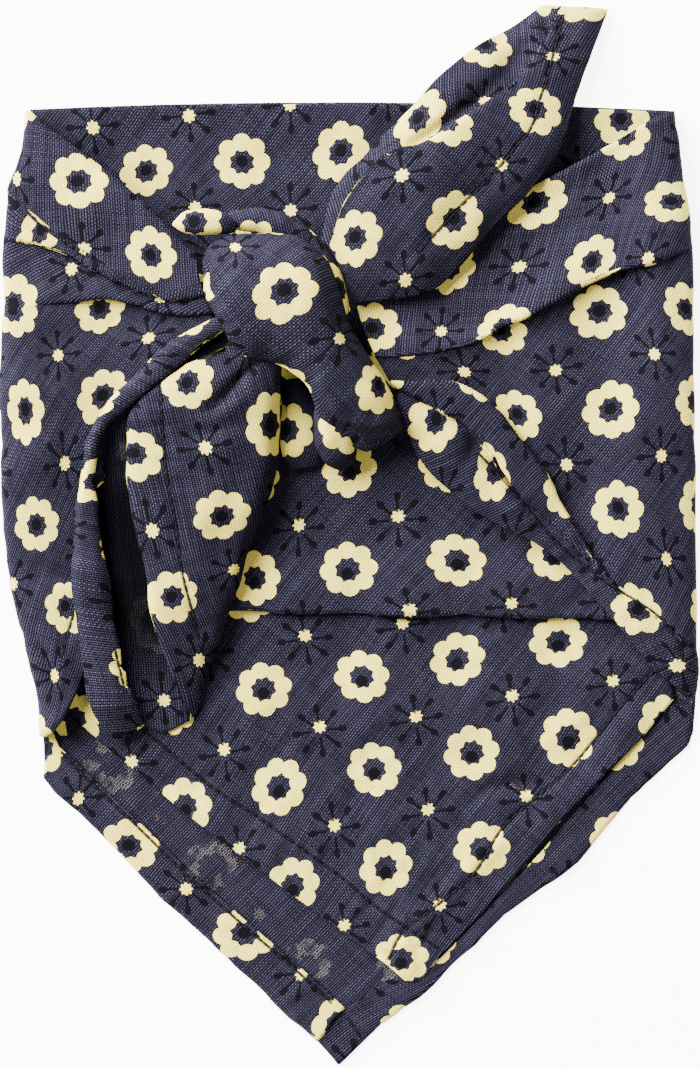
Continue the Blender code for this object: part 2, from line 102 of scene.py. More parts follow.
# Where the print lies on each stretch: places of some flowers and stars as the cloth lies, and the direction
# of the threads there, in degrees.
PRINTS = {
    "inner_low": {"grain": -36, "slip": 1.0,
        "flowers": ((-29, -52), (4, -48), (36, -42), (70, -36), (-24, -85), (8, -79), (41, -73), (73, -68),
                    (12, -112), (44, -105), (17, -142)),
        "stars": ((-10, -64), (22, -61), (54, -54), (88, -49), (-42, -72), (-5, -97), (26, -92), (59, -88),
                  (30, -124), (-73, -76), (-37, -105), (-2, -131))},
    "inner_mid": {"grain": -39, "slip": 1.0, "flowers": ((-1, -12), (36, -9), (68, -7), (0, 22)),
        "stars": ((-17, 3), (16, 6), (20, -25), (54, -23))},
    "inner_top": {"grain": -41, "flowers": ((-68, 121), (-36, 124), (-3, 128), (90.6, 138.7)),
        "stars": ((-86, 136), (-54, 140), (-20, 144), (12.5, 146.6), (-52, 110), (-20, 108))},
    "hem_left": {"grain": -41, "flowers": ((-74, -104.7), (-35.5, -134), (-5.2, -164.2), (-102.5, -72)),
        "stars": ((-54.7, -118.6), (-15.4, -146.9), (-91.3, -88.5))},
    "hem_right": {"grain": -42,
        "flowers": ((89, -70), (58.5, -103.5), (27, -138), (89, -102), (56, -133), (20.7, -163.7),
                    (-16, -162))},
    "wrong_side": {"grain": -46, "flowers": ((-80, -77), (-47, -111), (-14, -145)), "stars": ((-63.5, -96),)},
    "left_upper": {"grain": 0, "flowers": ((-90, 117), (-66, 92), (-110, 147)),
        "stars": ((-111, 117), (-88, 95))},
    "left_second": {"grain": -10, "first": (-1, -1), "flowers": ((-102, 101), (-66, 92)),
        "stars": ((-88, 95),)},
    "left_third": {"grain": -57, "first": (-2, 0), "flowers": ((-111.5, 75.4), (-83, 67)),
        "stars": ((-92.5, 87.8),)},
    "left_belly": {"grain": -26,
        "flowers": ((-82, 46), (-111, 39), (-104, 3), (-95, -24), (-112, 75), (-83, 74)),
        "stars": ((-95, 23), (-112, -17), (-98, -47), (-97, 59), (-67, 65))},
    "right_upper": {"grain": 3, "first": (-3, 3),
        "flowers": ((81, 90), (62, 110), (92, 133), (107, 110), (33, 88), (7.4, 68.2), (50.5, 68)),
        "stars": ((86, 112), (98, 92), (56, 89), (30.5, 67))},
    "right_belly": {"grain": -40,
        "flowers": ((95, -26), (83, 74), (86, 41), (89, 8), (56, 40), (111, 74), (114, 44), (116, 11),
                    (50, 67)),
        "stars": ((102, 60), (68, 54), (72, 23), (104, 26), (108, -7), (38, 54), (110, -43))},
    "right_ridge": {"grain": -50, "flowers": ((95, -26), (73, 15), (44, 54)), "stars": ((110, -43), (86, -3)),
        "places": ((0, 0), (-2, 0), (-4, 0), (1, 0), (-1, 0))},
    "right_strip": {"grain": -50, "flowers": ((95, -26), (73, 15), (44, 54), (48, 21)),
        "stars": ((110, -43), (54.5, -1.5), (86, -3)),
        "places": ((0, 0), (-2, 0), (-4, 0), (-3, -1), (1, 0), (-2, -1), (-1, 0))},
    "right_flap": {"grain": -50, "flowers": ((95, -26), (48, 21), (29.2, 38)),
        "stars": ((110, -43), (54.5, -1.5)), "places": ((0, 0), (-3, -1), (-4, -2), (1, 0), (-2, -1))},
    "tail_left_face": {"grain": 15, "flowers": ((-53, 49), (-26, 36), (-42, 5), (-59, -21), (-71.3, 27)),
        "stars": ((-48, 29), (-39, -11), (-50, -42), (-34, 61.5))},
    "tail_left_strip": {"grain": -9,
        "flowers": ((-53, 72.3), (-84.5, 17.3), (-68, -45), (-102, -18), (-71, -4), (-45.5, -65.5),
                    (-94, -66)),
        "places": ((-3, -1), (0, 0), (3, 1), (2, 0), (1, 1), (4, 2), (4, 0))},
    # shade 1: painted shade where this print lies, inside the trough
    "tail_left_inside": {"grain": 4, "shade": 1.0, "flowers": ((-68, 26),), "stars": ((-66, 1), (-62, -56))},
    "tail_right": {"grain": -34, "flowers": ((2, 98), (35, 104), (62, 141), (32, 137), (45.7, 162.5)),
        "stars": ((17, 118), (18, 84), (50, 122), (67, 159))},
    "tail_right_strip": {"grain": 3, "first": (-1, 3), "flowers": ((22.9, 138), (45.7, 162.5), (-23, 116.5)),
        "stars": ((45, 144), (67, 159))},
    "knot": {"grain": -44, "flowers": ((-21.5, 79.5), (9.6, 49), (-25, 44.5), (-53.7, 78)),
        "stars": ((-37.8, 95), (-2.4, 64.5), (-45, 61.5))},
    "knot_back": {"grain": 16, "flowers": ((-31.5, 95.7), (-4.5, 81))},
    "knot_under": {"grain": -20, "flowers": ((-21, 34.5),)},
    "knot_lobe": {"grain": -44, "flowers": ((-1.4, 36),)},
    "knot_tuck": {"grain": -22, "flowers": ((-51.2, 103),)},
}

# Stretches, as lines from the side to the knot, or from the knot to the tip, through (x, y, z) of the middle
# of the cloth. A pleat drops at each of its points, towards the line that it falls on.
LINES = "line print points drop falls under"
FRONT_RIGHT = table(
    LINES,
    ("upper fold", "right_upper",
     ((107.5, 141, 7), (101, 138.5, 8.6), (88, 130.5, 9.8), (67, 119, 10.4), (46, 107, 11), (23, 92, 12),
      (1.5, 79, 12.5))),
    ("hollow", "right_upper",
     ((110.5, 117, 11), (100, 115, 12), (86, 108.5, 11), (67, 97.5, 10.5), (48, 87, 11), (26, 77, 12),
      (4, 70, 13.5))),
    ("main pleat", "right_upper",
     ((113.5, 95, 15), (103, 91.2, 16), (90, 87, 16.2), (73.5, 80.5, 16.8), (58, 72, 17.5), (38, 62.5, 18),
      (8.5, 58.5, 17.3)),
     (0.5, 1.5, 2.5, 3, 1.6, 0.5, 0.5), "next"),
    ("belly", "right_belly",
     ((114.5, 40, 16), (102, 38, 16.5), (88, 38, 15.5), (71, 40, 14.5), (55, 47, 14), (38, 53, 15.5),
      (11, 54.5, 16))),
    ("hem pleat", "right_ridge",
     ((115.6, -39, 9), (104, -29, 10.5), (89.5, -19, 11.2), (74, 4, 13), (57, 29.5, 16), (39, 48.5, 18.3),
      (13.5, 50, 16.5)),
     (0, 0, 0.6, 2.6, 3.4, 3, 1), "previous"),
    ("stitched valley", "right_strip",
     ((115.8, -45, 8), (103.5, -35.5, 9.6), (91, -23.5, 10.2), (69.5, 1, 11), (51, 17, 14), (36.5, 37, 16.8),
      (16.5, 48.5, 15.8)),
     (0, 0, 0, 0.2, 0.6, 1.6, 1.2), "next"),
    ("flap", "right_flap",
     ((115.8, -49.5, 7), (103.5, -41.5, 9.5), (90.5, -27, 10.2), (66.5, -1.5, 11), (47, 10.5, 13.5),
      (29, 30, 16.5), (16, 43, 14.5))),
    ("hem edge", "right_flap",
     ((115.2, -54, 6), (103, -47, 9), (88.5, -29.5, 9.8), (64, -4, 9.8), (44, 6, 10.2), (25, 23, 10.6),
      (17, 38.5, 11))),
)
FRONT_LEFT = table(
    LINES,
    ("upper fold", "left_upper",
     ((-107.5, 141, 7), (-102, 136.5, 8.6), (-91, 128.5, 10), (-80, 120, 11.5), (-69, 110.5, 13.5),
      (-60.5, 102, 15.5), (-51, 92.5, 16))),
    ("first pleat", "left_upper",
     ((-113.3, 114, 13), (-106.5, 105.5, 14), (-96, 97.5, 15), (-84, 90.5, 16.3), (-72, 84, 17.2),
      (-61.5, 80.5, 17), (-49.5, 83, 16.3)),
     (1, 1.5, 1, 0, 0, 0, 0), "next"),
    ("second pleat", "left_second",
     ((-115, 98, 14), (-106, 96.5, 13.4), (-95, 93, 14.2), (-83, 87.2, 15.6), (-71.5, 81.2, 16.6),
      (-60.8, 77.8, 16.8), (-48, 79.5, 16)),
     (0.5, 1, 1.8, 2.6, 2.6, 2, 1), "next"),
    ("third pleat", "left_third",
     ((-115.2, 74, 16), (-104, 76, 15.5), (-91.5, 77.3, 15.5), (-79.5, 78.2, 16), (-70.5, 75.8, 16),
      (-59.5, 73.3, 15.8), (-46, 73.5, 15)),
     (0, 0, 1, 3, 3, 2, 1), "next"),
    ("belly", "left_belly",
     ((-116, 40, 16), (-104, 42, 16.5), (-91, 44, 16), (-78, 48, 15), (-67, 54.5, 14.8), (-57, 62, 14.6),
      (-45, 69.5, 14))),
    ("low valley", "left_belly",
     ((-113.5, -14, 11), (-104, -14, 11.2), (-95, -10, 11), (-84, 2, 10), (-72, 18, 10), (-60, 38, 11.5),
      (-43, 62, 12.8))),
    ("low ridge", "left_belly",
     ((-107.2, -40, 10), (-101, -38, 11), (-95, -33, 10.8), (-86, -18, 10), (-74, 1, 9.8), (-61, 24, 10.2),
      (-41, 56, 11.5))),
    ("hem edge", "left_belly",
     ((-102.7, -67.5, 6), (-98, -65, 8.8), (-92.5, -56, 9.8), (-84.5, -36, 9.8), (-73, -12, 9.6),
      (-59.5, 14, 9.8), (-39, 50, 10.5))),
)
TAIL_RIGHT = table(
    LINES,
    ("fold", "tail_right_strip",
     ((-9.5, 97.5, 16.5), (-4.5, 114.5, 17), (8, 129, 15.5), (20, 141.5, 12.5), (36.5, 158, 8),
      (52, 168.5, 3.5), (64.5, 177, 1.6))),
    ("turned strip", "tail_right_strip",
     ((-8.6, 96.2, 17.5), (-3.2, 113, 19.3), (9.8, 127.6, 18), (23.5, 136.5, 15.8), (39, 151, 12),
      (55.5, 165, 6.5), (67, 176.7, 2.4))),
    ("pleat", "tail_right",
     ((-7.2, 94.4, 18.3), (-1, 110.6, 21), (12, 125.4, 20.5), (26.5, 131.3, 19.3), (42, 141.3, 16),
      (60, 156.5, 8.8), (71, 176.4, 2.6)),
     (0, 0, 0, 2.6, 2.6, 0.5, 0), "previous"),
    ("face", "tail_right",
     ((-2.5, 86.5, 18.8), (15, 99, 22.5), (29, 111.5, 21.5), (42, 120.5, 19.2), (56, 133, 15.5),
      (69.5, 155.5, 8), (78, 176, 2.6))),
    ("stitched shoulder", "tail_right",
     ((0, 81, 18), (25, 88, 20), (40.5, 102.5, 18.5), (53, 114, 16.5), (65.5, 129.5, 13), (75, 155, 6.5),
      (83, 175.8, 2.2))),
    ("hem edge", "tail_right",
     ((2, 76.5, 16.5), (28, 81.5, 16.5), (45, 99, 15.5), (57.5, 112.5, 13.5), (69, 128, 10.8),
      (78, 154.5, 4.8), (86.2, 175.5, 1.2))),
)
TAIL_LEFT = table(
    LINES,
    ("outer edge", "tail_left_strip",
     ((-43, 72.5, 16.3), (-57.5, 64.6, 18), (-73.5, 50, 19), (-84.5, 36.5, 18.5), (-90.5, 10, 15.5),
      (-92, -15, 14), (-89.5, -36.5, 12.2), (-87.5, -53, 10.8), (-81, -67, 7))),
    ("strip", "tail_left_strip",
     ((-41, 70.5, 17.5), (-57, 61.5, 21.3), (-74, 46.5, 22), (-83.5, 34.5, 21.5), (-88.5, 10, 18.5),
      (-88.5, -13, 16.5), (-85.5, -36, 14.5), (-82, -52.5, 12.5), (-77, -67.8, 6.8))),
    ("strip lip", "tail_left_strip",
     ((-39.5, 68.5, 18), (-56.8, 56, 21.2), (-74.5, 41.5, 21.2), (-83, 31.5, 20), (-84.6, 10, 17.5),
      (-80.8, -10, 15), (-77.5, -35, 13), (-73.2, -51.5, 10.6), (-69, -63.8, 5.5)),
     (0, 1, 2.5, 5, 5, 3.6, 4.6, 4, 1.6), "next", 2.2),
    ("trough", "tail_left_inside",
     ((-38, 66.5, 17.8), (-56.8, 54.8, 19.2), (-73.8, 38.5, 17.6), (-77.5, 29, 14), (-78.5, 10, 11.5),
      (-74.5, -11, 12.4), (-70.5, -35, 8.2), (-64.5, -52, 5), (-62, -66.3, 3.7))),
    ("face lip", "tail_left_face",
     ((-36.5, 65, 18), (-56.6, 53.6, 20.4), (-73, 38, 20.8), (-73.3, 28.5, 19.8), (-72, 11, 18),
      (-67.5, -13.5, 15.5), (-63, -35, 12.5), (-56.5, -52.5, 8), (-54.5, -62.5, 4.2)),
     (0, 0.6, 2.4, 5, 5.6, 4, 4, 2, 0.3), "previous", 2.2),
    ("face", "tail_left_face",
     ((-30.5, 60.5, 18.3), (-41.5, 52, 21.8), (-50, 41.5, 22.5), (-50, 28, 21.3), (-50.5, 11, 19),
      (-52.5, -13.5, 15.5), (-53.5, -34.5, 11.5), (-53.5, -52.3, 7.2), (-53.5, -61.5, 3.8))),
    ("right shoulder", "tail_left_face",
     ((-24.5, 56.8, 17.3), (-26.8, 50, 19.5), (-28, 43, 20), (-28, 27.5, 18.5), (-32, 11.3, 16),
      (-39.5, -13.7, 12.8), (-46, -34.4, 9), (-51.5, -52.2, 6), (-52.8, -61, 3.6))),
    ("right edge", "tail_left_face",
     ((-22.8, 55.3, 15.5), (-23.2, 49.5, 15.2), (-23.3, 43, 14.5), (-23.5, 27, 12), (-28, 11.3, 10.2),
      (-36.5, -13.7, 8.6), (-43.2, -34.3, 6.4), (-50.2, -52, 4.6), (-52.2, -60.7, 3.4))),
)

# Panels, as rows from top to bottom. A corner in an edge has its own row. A row bows up in the middle.
INNER_ROWS = table(
    "left right height print bow",
    ((-107.2, 141.6), (107.2, 141.2), 2, "inner_top", 2.4),
    ((-107.6, 130), (107.6, 130), 2, "inner_top", 2),
    ((-104, 100), (103, 100), 2, "inner_top", 1),
    ((-106.5, 40), (105, 40), 2, "inner_mid"),
    ((-104.5, 0), (106, 0), 3, "inner_mid"),
    ((-98, -17), (106, -21), 4.8, "inner_mid", -0.6),
    ((-98, -22.6), (106, -27.6), 4.9, "inner_mid", -0.8),
    ((-98, -23.6), (106, -28.6), 4.3, "inner_mid", -0.8),
    ((-98, -22.8), (106, -27.8), 1.9, "inner_low", -0.8),
    ((-96.5, -40), (106, -40), 1.9, "inner_low"),
    ((-95.5, -59), (108.6, -55), 2.4, "inner_low"),
    ((-80, -72.5), (97, -69), 2.2, "inner_low"),
    ((-63, -87), (84, -81.6), 2.2, "inner_low"),
    ((-46, -100.5), (72.6, -93.4), 2.2, "inner_low"),
    ((-28, -114), (56.5, -112.4), 2.2, "inner_low"),
    ((-3, -133), (44, -126.8), 2.2, "inner_low"),
    ((12.5, -144.2), (29.5, -141.5), 2.3, "inner_low"),
    ((18.5, -149.5), (23.5, -149.5), 2.4, "inner_low"),
)
OUTER_ROWS = table(
    "left right bow",
    ((-107.2, 142.2), (107.2, 141.8), 2.6),
    ((-107.8, 118), (106, 118)),
    ((-106, 97), (104.2, 97)),
    ((-107, 40), (105.4, 40)),
    ((-104.4, -14), (106.2, -14)),
    ((-103.5, -40), (112, -40)),
    ((-103.4, -60), (116, -53)),
    ((-102.6, -70.8), (115, -66)),
    ((-102.2, -81), (113.4, -71)),
    ((-98, -86.3), (104.5, -75)),
    ((-83, -101), (94, -88.5)),
    ((-63.5, -121.5), (76.5, -109.8)),
    ((-41.5, -141.5), (52, -127.5)),
    ((-20, -161.5), (23, -155)),
    ((-10, -170), (10.5, -164.2)),
    ((-4.2, -177.6), (-3.2, -177.6)),
)
LEFT_HEM = {
    "outer": ((-103.4, -60), (-102.8, -66), (-102.6, -72), (-102.2, -81.5), (-98.5, -86), (-83, -101),
              (-63.5, -121.5), (-41.5, -141.5), (-20, -161.5), (-10.8, -169.8)),
    "inner": ((-100.5, -60), (-99.6, -66), (-97.5, -71), (-94, -74.5), (-89, -79), (-74, -93),
              (-54.5, -111.8), (-35, -129.2), (-15, -146.4), (-1.7, -158.7)),
}
RIGHT_HEM = {
    "outer": ((115.4, -57), (113.4, -70.8), (94, -88.3), (76.5, -109.6), (52, -127.3), (23, -154.8),
              (10.5, -164), (-3.8, -177.6)),
    "inner": ((106.2, -57.6), (103, -61.5), (89.8, -76.3), (65.3, -104.8), (45.8, -126.4), (30.3, -142),
              (12, -149.5), (-13, -167.5)),
}

# The wrap of the knot: sections from its upper left end to where it turns under, each from its lower left
# edge to its upper right edge, with the height of the edges, of the cloth at five places across, and of the
# foot below.
KNOT = table(
    "lower upper edge top foot",
    ((-48.4, 79), (-49.2, 89.5), 19.5, (20.5, 22, 22.5, 22, 20.5), 19),
    ((-46.5, 75.3), (-47, 94.7), 20, (24, 26.5, 27, 26.5, 23.5), 17),
    ((-42.2, 69.8), (-41.5, 98.2), 20.5, (27.5, 31, 31.5, 30, 25.5), 15),
    ((-38.5, 63), (-33.5, 99.6), 20.5, (28, 32.5, 34, 33, 27), 12),
    ((-33.5, 58.7), (-24.2, 99.9), 21, (28, 33, 35.2, 34, 28), 8),
    ((-26.8, 56.7), (-15.8, 98), 21, (28, 33, 35.3, 34.3, 28.5), 7),
    ((-20.2, 53), (-8.5, 92), 21, (28, 32.8, 35, 34, 28.5), 6.5),
    ((-14.8, 49.3), (-4.3, 82), 21, (27.5, 32, 34, 33.3, 28), 6.5),
    ((-12, 45.3), (0, 69.7), 20.5, (26.5, 30.8, 32.5, 31.8, 27.5), 6.5),
    ((-10.3, 40.5), (6.7, 58), 20, (25, 28.8, 30.8, 30.3, 26.5), 6.5),
    ((-8.4, 36.6), (12.7, 48), 19, (22.5, 26, 28.5, 28.6, 25), 7),
    ((-4, 32.2), (16.8, 39.7), 17.5, (19.5, 22.6, 25, 25.6, 22.5), 7.5),
    ((1.5, 28.4), (17.4, 34.2), 15.5, (16.8, 18.8, 20.4, 21, 18.8), 9),
    ((6.3, 27), (14, 30.6), 14, (14.5, 15.2, 15.8, 16, 15), 11),
)
KNOT_ACROSS = (0.1, 0.28, 0.5, 0.72, 0.9)  # places across of the five heights
KNOT_INSET, KNOT_RIM = 0.16, 0.8  # how far in the layers below the wrap are, as a share, and its rim's depth

# Strands, as sections with half a width and half a height each. Shade 1 is dark inside the knot.
STRANDS = tables(
    "at size height shade",
    knot_back=(
        ((-43, 104), (2.2, 2.6), 17),
        ((-37, 104), (3.6, 4.5), 17.5),
        ((-29, 103.6), (4, 5), 18),
        ((-21, 100.8), (4, 5), 18),
        ((-13, 96), (4, 5), 18),
        ((-7.5, 88), (3.2, 5), 18),
        ((-4.2, 78), (2.7, 4.5), 18),
        ((-1.5, 70), (1.6, 3), 18),
    ),
    knot_under=(
        ((-16.5, 52), (4, 3), 8.5, 1.0),
        ((-16.6, 44), (6.4, 3.4), 8, 0.9),
        ((-16.4, 35), (7, 3.4), 7, 0.2),
        ((-15.8, 27.5), (6.6, 3), 5.8),
        ((-15, 21.5), (5, 1.8), 4.8, 0.4),
    ),
    knot_tuck=(
        ((-58.8, 102.4), (0.5, 0.6), 20),
        ((-54.5, 103.3), (3.3, 2), 20.4),
        ((-49.5, 103.6), (4.1, 2.8), 20.6),
        ((-44.5, 103), (3.8, 3), 20.6),
        ((-40.5, 102), (3, 2.8), 20.4),
        ((-37.5, 101), (1.6, 1.6), 20),
    ),
    knot_lobe=(
        ((-6, 50), (3, 3), 18),
        ((-6, 44), (5, 4.5), 17),
        ((-5.5, 37), (6, 5), 15.5),
        ((-4.5, 30), (6, 4.8), 13.5),
        ((-3, 25), (4.8, 4), 11.5),
        ((-1.5, 21.8), (2.4, 2), 9.5),
    ),
)

# Creases: troughs (depth below 0) and ridges across the cloth of a stretch, as it lies.
CREASES = tables(
    "line depth width",
    front_left=(
        (((-113, 113), (-107, 109), (-103, 105), (-97, 101)), -1.6, 2.4),
        (((-113, -10), (-104, -13.5), (-97, -14.5), (-90, -15)), -2.2, 1.9),
        (((-111, 60), (-100, 64), (-88, 66), (-76, 69), (-64, 69)), -1.3, 3),
        (((-113, 20), (-104, 27), (-94, 30)), 1.1, 5),
        (((-107, -33), (-101, -40), (-98, -52)), -1.3, 2.2),
        (((-104, -30), (-97, -38), (-92, -50)), 0.9, 2.6),
        (((-100, 132), (-88, 119), (-76, 108), (-64, 99)), 1.2, 3),
        (((-92, 124), (-80, 108), (-70, 99), (-60, 92)), -0.8, 3.6),
        (((-74, 99), (-66, 92), (-58, 84)), -0.9, 1.8),
        (((-100, 88), (-88, 88), (-76, 84)), 1, 2.5),
        (((-112, 50), (-100, 46), (-88, 50)), 0.8, 5),
    ),
    front_right=(
        (((40, 101), (58, 108), (75, 116), (92, 128)), -1.4, 3.2),
        (((12, 72), (28, 81), (46, 89), (62, 95)), 1.2, 4),
        (((22, 66), (38, 71), (52, 78), (70, 88)), -1.4, 3),
        (((66, 96), (80, 100), (96, 102), (110, 104)), 0.8, 5),
        (((40, 50), (52, 40), (66, 24), (78, 8)), 0.8, 5),
        (((44, 64), (60, 66), (76, 72), (92, 80)), -1, 4),
        (((90, 70), (100, 40), (104, 10)), -0.7, 9),
        (((33, 41), (42, 29), (53, 15), (69, 2)), -1.5, 1.8),
        (((36, 22), (40, 27), (42, 33)), -1.8, 1.6),
        (((30, 42), (34, 37), (39, 31)), 1, 2.5),
        (((48, 18), (60, 4), (74, -10)), 0.8, 2.5),
    ),
    tail_right=(
        (((18, 127), (27, 133), (36, 140), (47, 148)), -2.4, 2),
        (((10, 88), (26, 98), (40, 112), (52, 126)), -0.9, 4),
        (((36, 140), (50, 152), (60, 165)), -1, 2.4),
        (((0, 104), (10, 112), (22, 118), (32, 122)), 1, 4),
        (((64, 175), (65, 170), (66, 165)), -0.8, 1),
    ),
    tail_left=(
        (((-29, 58.5), (-36, 52), (-42, 45), (-48, 39)), -3.4, 1.7),
        (((-32, 48), (-38, 43), (-44, 38)), 1.4, 2.5),
        (((-60, 34), (-50, 33), (-42, 35), (-33, 36.5)), -1.2, 2.6),
        (((-45, 20), (-50, 0), (-53, -25)), 0.9, 5),
        (((-33, 40), (-36, 20), (-42, 0)), -0.7, 4),
        (((-86, 5), (-84, -12), (-82, -30)), 0.9, 2.5),
    ),
    inner_panel=(
        (((101, -57), (92.5, -66.5), (80.5, -78), (69, -90), (54, -108.5), (43.5, -121)), 1.2, 6),
        (((90, -62), (78, -76), (60, -96), (48, -110)), -0.5, 4),
        (((36, -92), (48, -85), (60, -84), (70, -80)), -1.2, 3),
        (((34, -86), (46, -79), (60, -77)), 0.8, 4),
        (((-20, -40), (-24, -60), (-20, -80)), -0.6, 7),
        (((0, -60), (30, -66), (60, -60)), 0.7, 9),
        (((88, -42), (76, -60), (64, -74)), 0.9, 5),
        (((14, -140), (30, -124), (44, -108), (60, -96)), 1, 4),
        (((-60, -86), (-40, -102), (-20, -118), (0, -133)), 0.9, 4),
        (((-40, 108), (-10, 112), (20, 118)), 0.8, 8),
        (((-30, 45), (5, 40), (35, 28), (60, 8), (84, -10)), 2.6, 13),
    ),
    outer_panel=(
        (((-86, -84), (-68, -99), (-48, -117), (-28, -135)), 1, 3.5),
        (((-76, -80), (-66, -89), (-56, -97)), -0.6, 2.5),
        (((-30, -128), (-18, -136), (-8, -147)), -0.6, 2.5),
    ),
    knot=(
        (((-46, 80), (-38, 74), (-28, 66), (-16, 57)), -0.7, 4),
        (((-46.5, 92), (-48, 86), (-47.4, 80), (-44.5, 76)), -2, 1.1),
        (((-10.5, 93), (-8, 83), (-4.5, 72), (1, 61)), -0.9, 1.5),
        (((-13, 50), (-8, 41), (-1, 34.5), (8, 32), (16, 36)), -1.1, 1.3),
        (((-11, 52), (-5, 43), (2, 37), (9, 35.5), (16, 40)), 0.8, 1.4),
        (((-8, 52), (-2, 44), (4, 39.5), (10, 39.5), (15, 44)), -0.7, 1.3),
        (((-26, 62), (-18, 60), (-10, 55), (-5, 47)), 0.8, 3),
        (((-2, 33), (4, 30), (11, 30), (15, 32)), -0.8, 1),
    ),
    knot_tuck=((((-57, 102), (-50, 101), (-43, 100)), -0.8, 1.5),),
    knot_lobe=((((-10, 42), (-8, 35), (-4, 29)), -0.8, 1.2),),
)

# The cloth of each piece: the sides and area of its cut, in one layer of the sheet, how it lies and on what.
SHEETS = table(
    "piece cut area held on",
    ("outer_panel", (220, 324), 58500, "laid", ()),
    ("outer_hem_left", (17, 147), 1900, "folded", ("outer_panel",)),
    ("outer_hem_right", (17, 169), 1750, "folded", ("outer_panel",)),
    ("inner_panel", (217, 296), 53500, "laid", ("outer_panel",)),
    ("front_left", (110, 150), 14000, "folded", ("inner_panel",)),
    ("front_right", (151, 157), 18200, "folded", ("inner_panel",)),
    ("tail_left", (75, 160), 9700, "folded", ("front_left", "inner_panel")),
    ("tail_right", (62, 125), 5800, "folded", ("front_right",)),
    ("knot", (62, 100), 4300, "gathered", ("front_left", "front_right")),
    ("knot_back", (18, 62), 800, "gathered", ("inner_panel",)),
    ("knot_under", (20, 34), 500, "gathered", ("inner_panel",)),
    ("knot_tuck", (12, 24), 220, "gathered", ("knot",)),
    ("knot_lobe", (20, 33), 530, "gathered", ("inner_panel",)),
)

# Rows of stitches that hold the hems down.
SEAMS = {
    "inner_panel": (
        ((-74, -61.5), (-63.3, -70.3), (-47.5, -83.7), (-30, -95.3), (-15, -106.2), (-2.5, -115.3),
         (6, -122.5), (14, -128.5), (25, -135.5), (30, -139)),
        ((102, -45.5), (89.5, -59), (82.5, -68), (74, -78), (51, -98.5), (41.5, -113.5), (30, -123.5),
         (17.5, -133.5), (12.5, -143)),
    ),
    "outer_hem_left": (
        ((-97, -72.6), (-89.6, -80.4), (-74.8, -94.3), (-55.3, -113.2), (-36, -130.6), (-16, -147.8),
         (-5.5, -157.6)),
    ),
    "outer_hem_right": (((-0.8, -162), (3.8, -168.6)), ((14, -148), (0, -157.5), (-11, -166.5))),
    "front_left": (((-91.8, -26), (-93.8, -33), (-96, -41)),),
    "front_right": (
        ((42, 27.5), (44.8, 24.7), (52, 16.7), (69, -3), (89.5, -18.7), (103, -27.7), (110, -37),
         (110.6, -43)),
    ),
    "tail_right": (
        ((71.5, 173), (70.5, 170), (67.5, 159), (64.8, 149), (63, 144.5), (60, 134.5), (55, 128.5), (50, 122),
         (43, 114.7), (38, 109.7), (29, 100), (22, 92.5)),
        ((60, 169.5), (66, 169), (71, 168.6)),
    ),
    "tail_left": (
        ((-62.5, 49), (-61, 22.5), (-58, 5.5), (-55.5, -13), (-50, -35)),
        ((-78, -38.5), (-74.5, -53)),
    ),
}


def curve(points, per_span):
    """Samples of the centripetal Catmull-Rom curve through the points, along the first axis."""
    p = np.asarray(points, float)
    ends = np.concatenate([[2 * p[0] - p[1]], p, [2 * p[-1] - p[-2]]])
    step = np.sqrt(np.maximum(np.linalg.norm(np.diff(ends, axis=0), axis=-1, keepdims=True), 1e-6))
    samples = []
    for k in range(len(p) - 1):
        a, b, c, d = ends[k : k + 4]
        t1 = step[k]
        t2 = t1 + step[k + 1]
        t3 = t2 + step[k + 2]
        for share in np.arange(per_span) / per_span:
            t = t1 + share * (t2 - t1)
            ab, bc, cd = mix(a, b, t / t1), mix(b, c, (t - t1) / (t2 - t1)), mix(c, d, (t - t2) / (t3 - t2))
            samples.append(mix(mix(ab, bc, t / t2), mix(bc, cd, (t - t1) / (t3 - t1)), (t - t1) / (t2 - t1)))
    samples.append(p[-1])
    return np.array(samples)


def mix(a, b, share):
    return a + (b - a) * share


def straight(points, per_span):
    """Samples of the straight runs between the points, along the first axis."""
    p = np.asarray(points, float)
    place = np.linspace(0, len(p) - 1, (len(p) - 1) * per_span + 1)
    k = np.minimum(place.astype(int), len(p) - 2)
    share = (place - k).reshape(-1, *[1] * (p.ndim - 1))
    return mix(p[k], p[k + 1], share)


def reach_along(path):
    """How far along the path each of its points is."""
    return np.concatenate([[0], np.cumsum(np.linalg.norm(np.diff(path, axis=0), axis=1))])


def turned(degrees):
    a = math.radians(degrees)
    return np.array([[math.cos(a), -math.sin(a)], [math.sin(a), math.cos(a)]])


def rolled(points):
    """A front line with the side roll before it."""
    x, y, height = points[0]
    side = math.copysign(1, x)
    roll = [(x + side * ROLL_REACH * out, y, ROLL_FOOT + (height - ROLL_FOOT) * up) for out, up in ROLL_SHAPE]
    return [*roll, *points[1:]]


def strung(lines, prepare):
    """The samples of each line and of each pleat's foot, and the name of the print on each."""
    ridges = [curve(prepare(line["points"]), ALONG) for line in lines]
    rails, prints = [], []
    for i, (line, ridge) in enumerate(zip(lines, ridges)):
        rails.append(ridge)
        prints.append(line["print"])
        if "drop" not in line:
            continue
        falls_on = line["falls"] == "next"
        beyond = i + 1 if falls_on else i - 1
        drops = [0.0] * (len(prepare(line["points"])) - len(line["points"])) + list(line["drop"])
        fall = straight(drops, ALONG)
        across = ridges[beyond] - ridge
        reach = np.linalg.norm(across[:, :2], axis=1)
        under = (1 + FOLD_BEYOND) * np.minimum(fall / FOLD_FULL, 1) - FOLD_BEYOND
        under = np.minimum(line.get("under", FOLD_UNDER) * under, FOLD_MOST * reach)
        foot = ridge - across * (under / reach)[:, None]
        foot[:, 2] = ridge[:, 2] - fall
        place = len(rails) if falls_on else len(rails) - 1
        rails.insert(place, foot)
        prints.insert(place, lines[beyond]["print"])
    return np.array(rails), prints


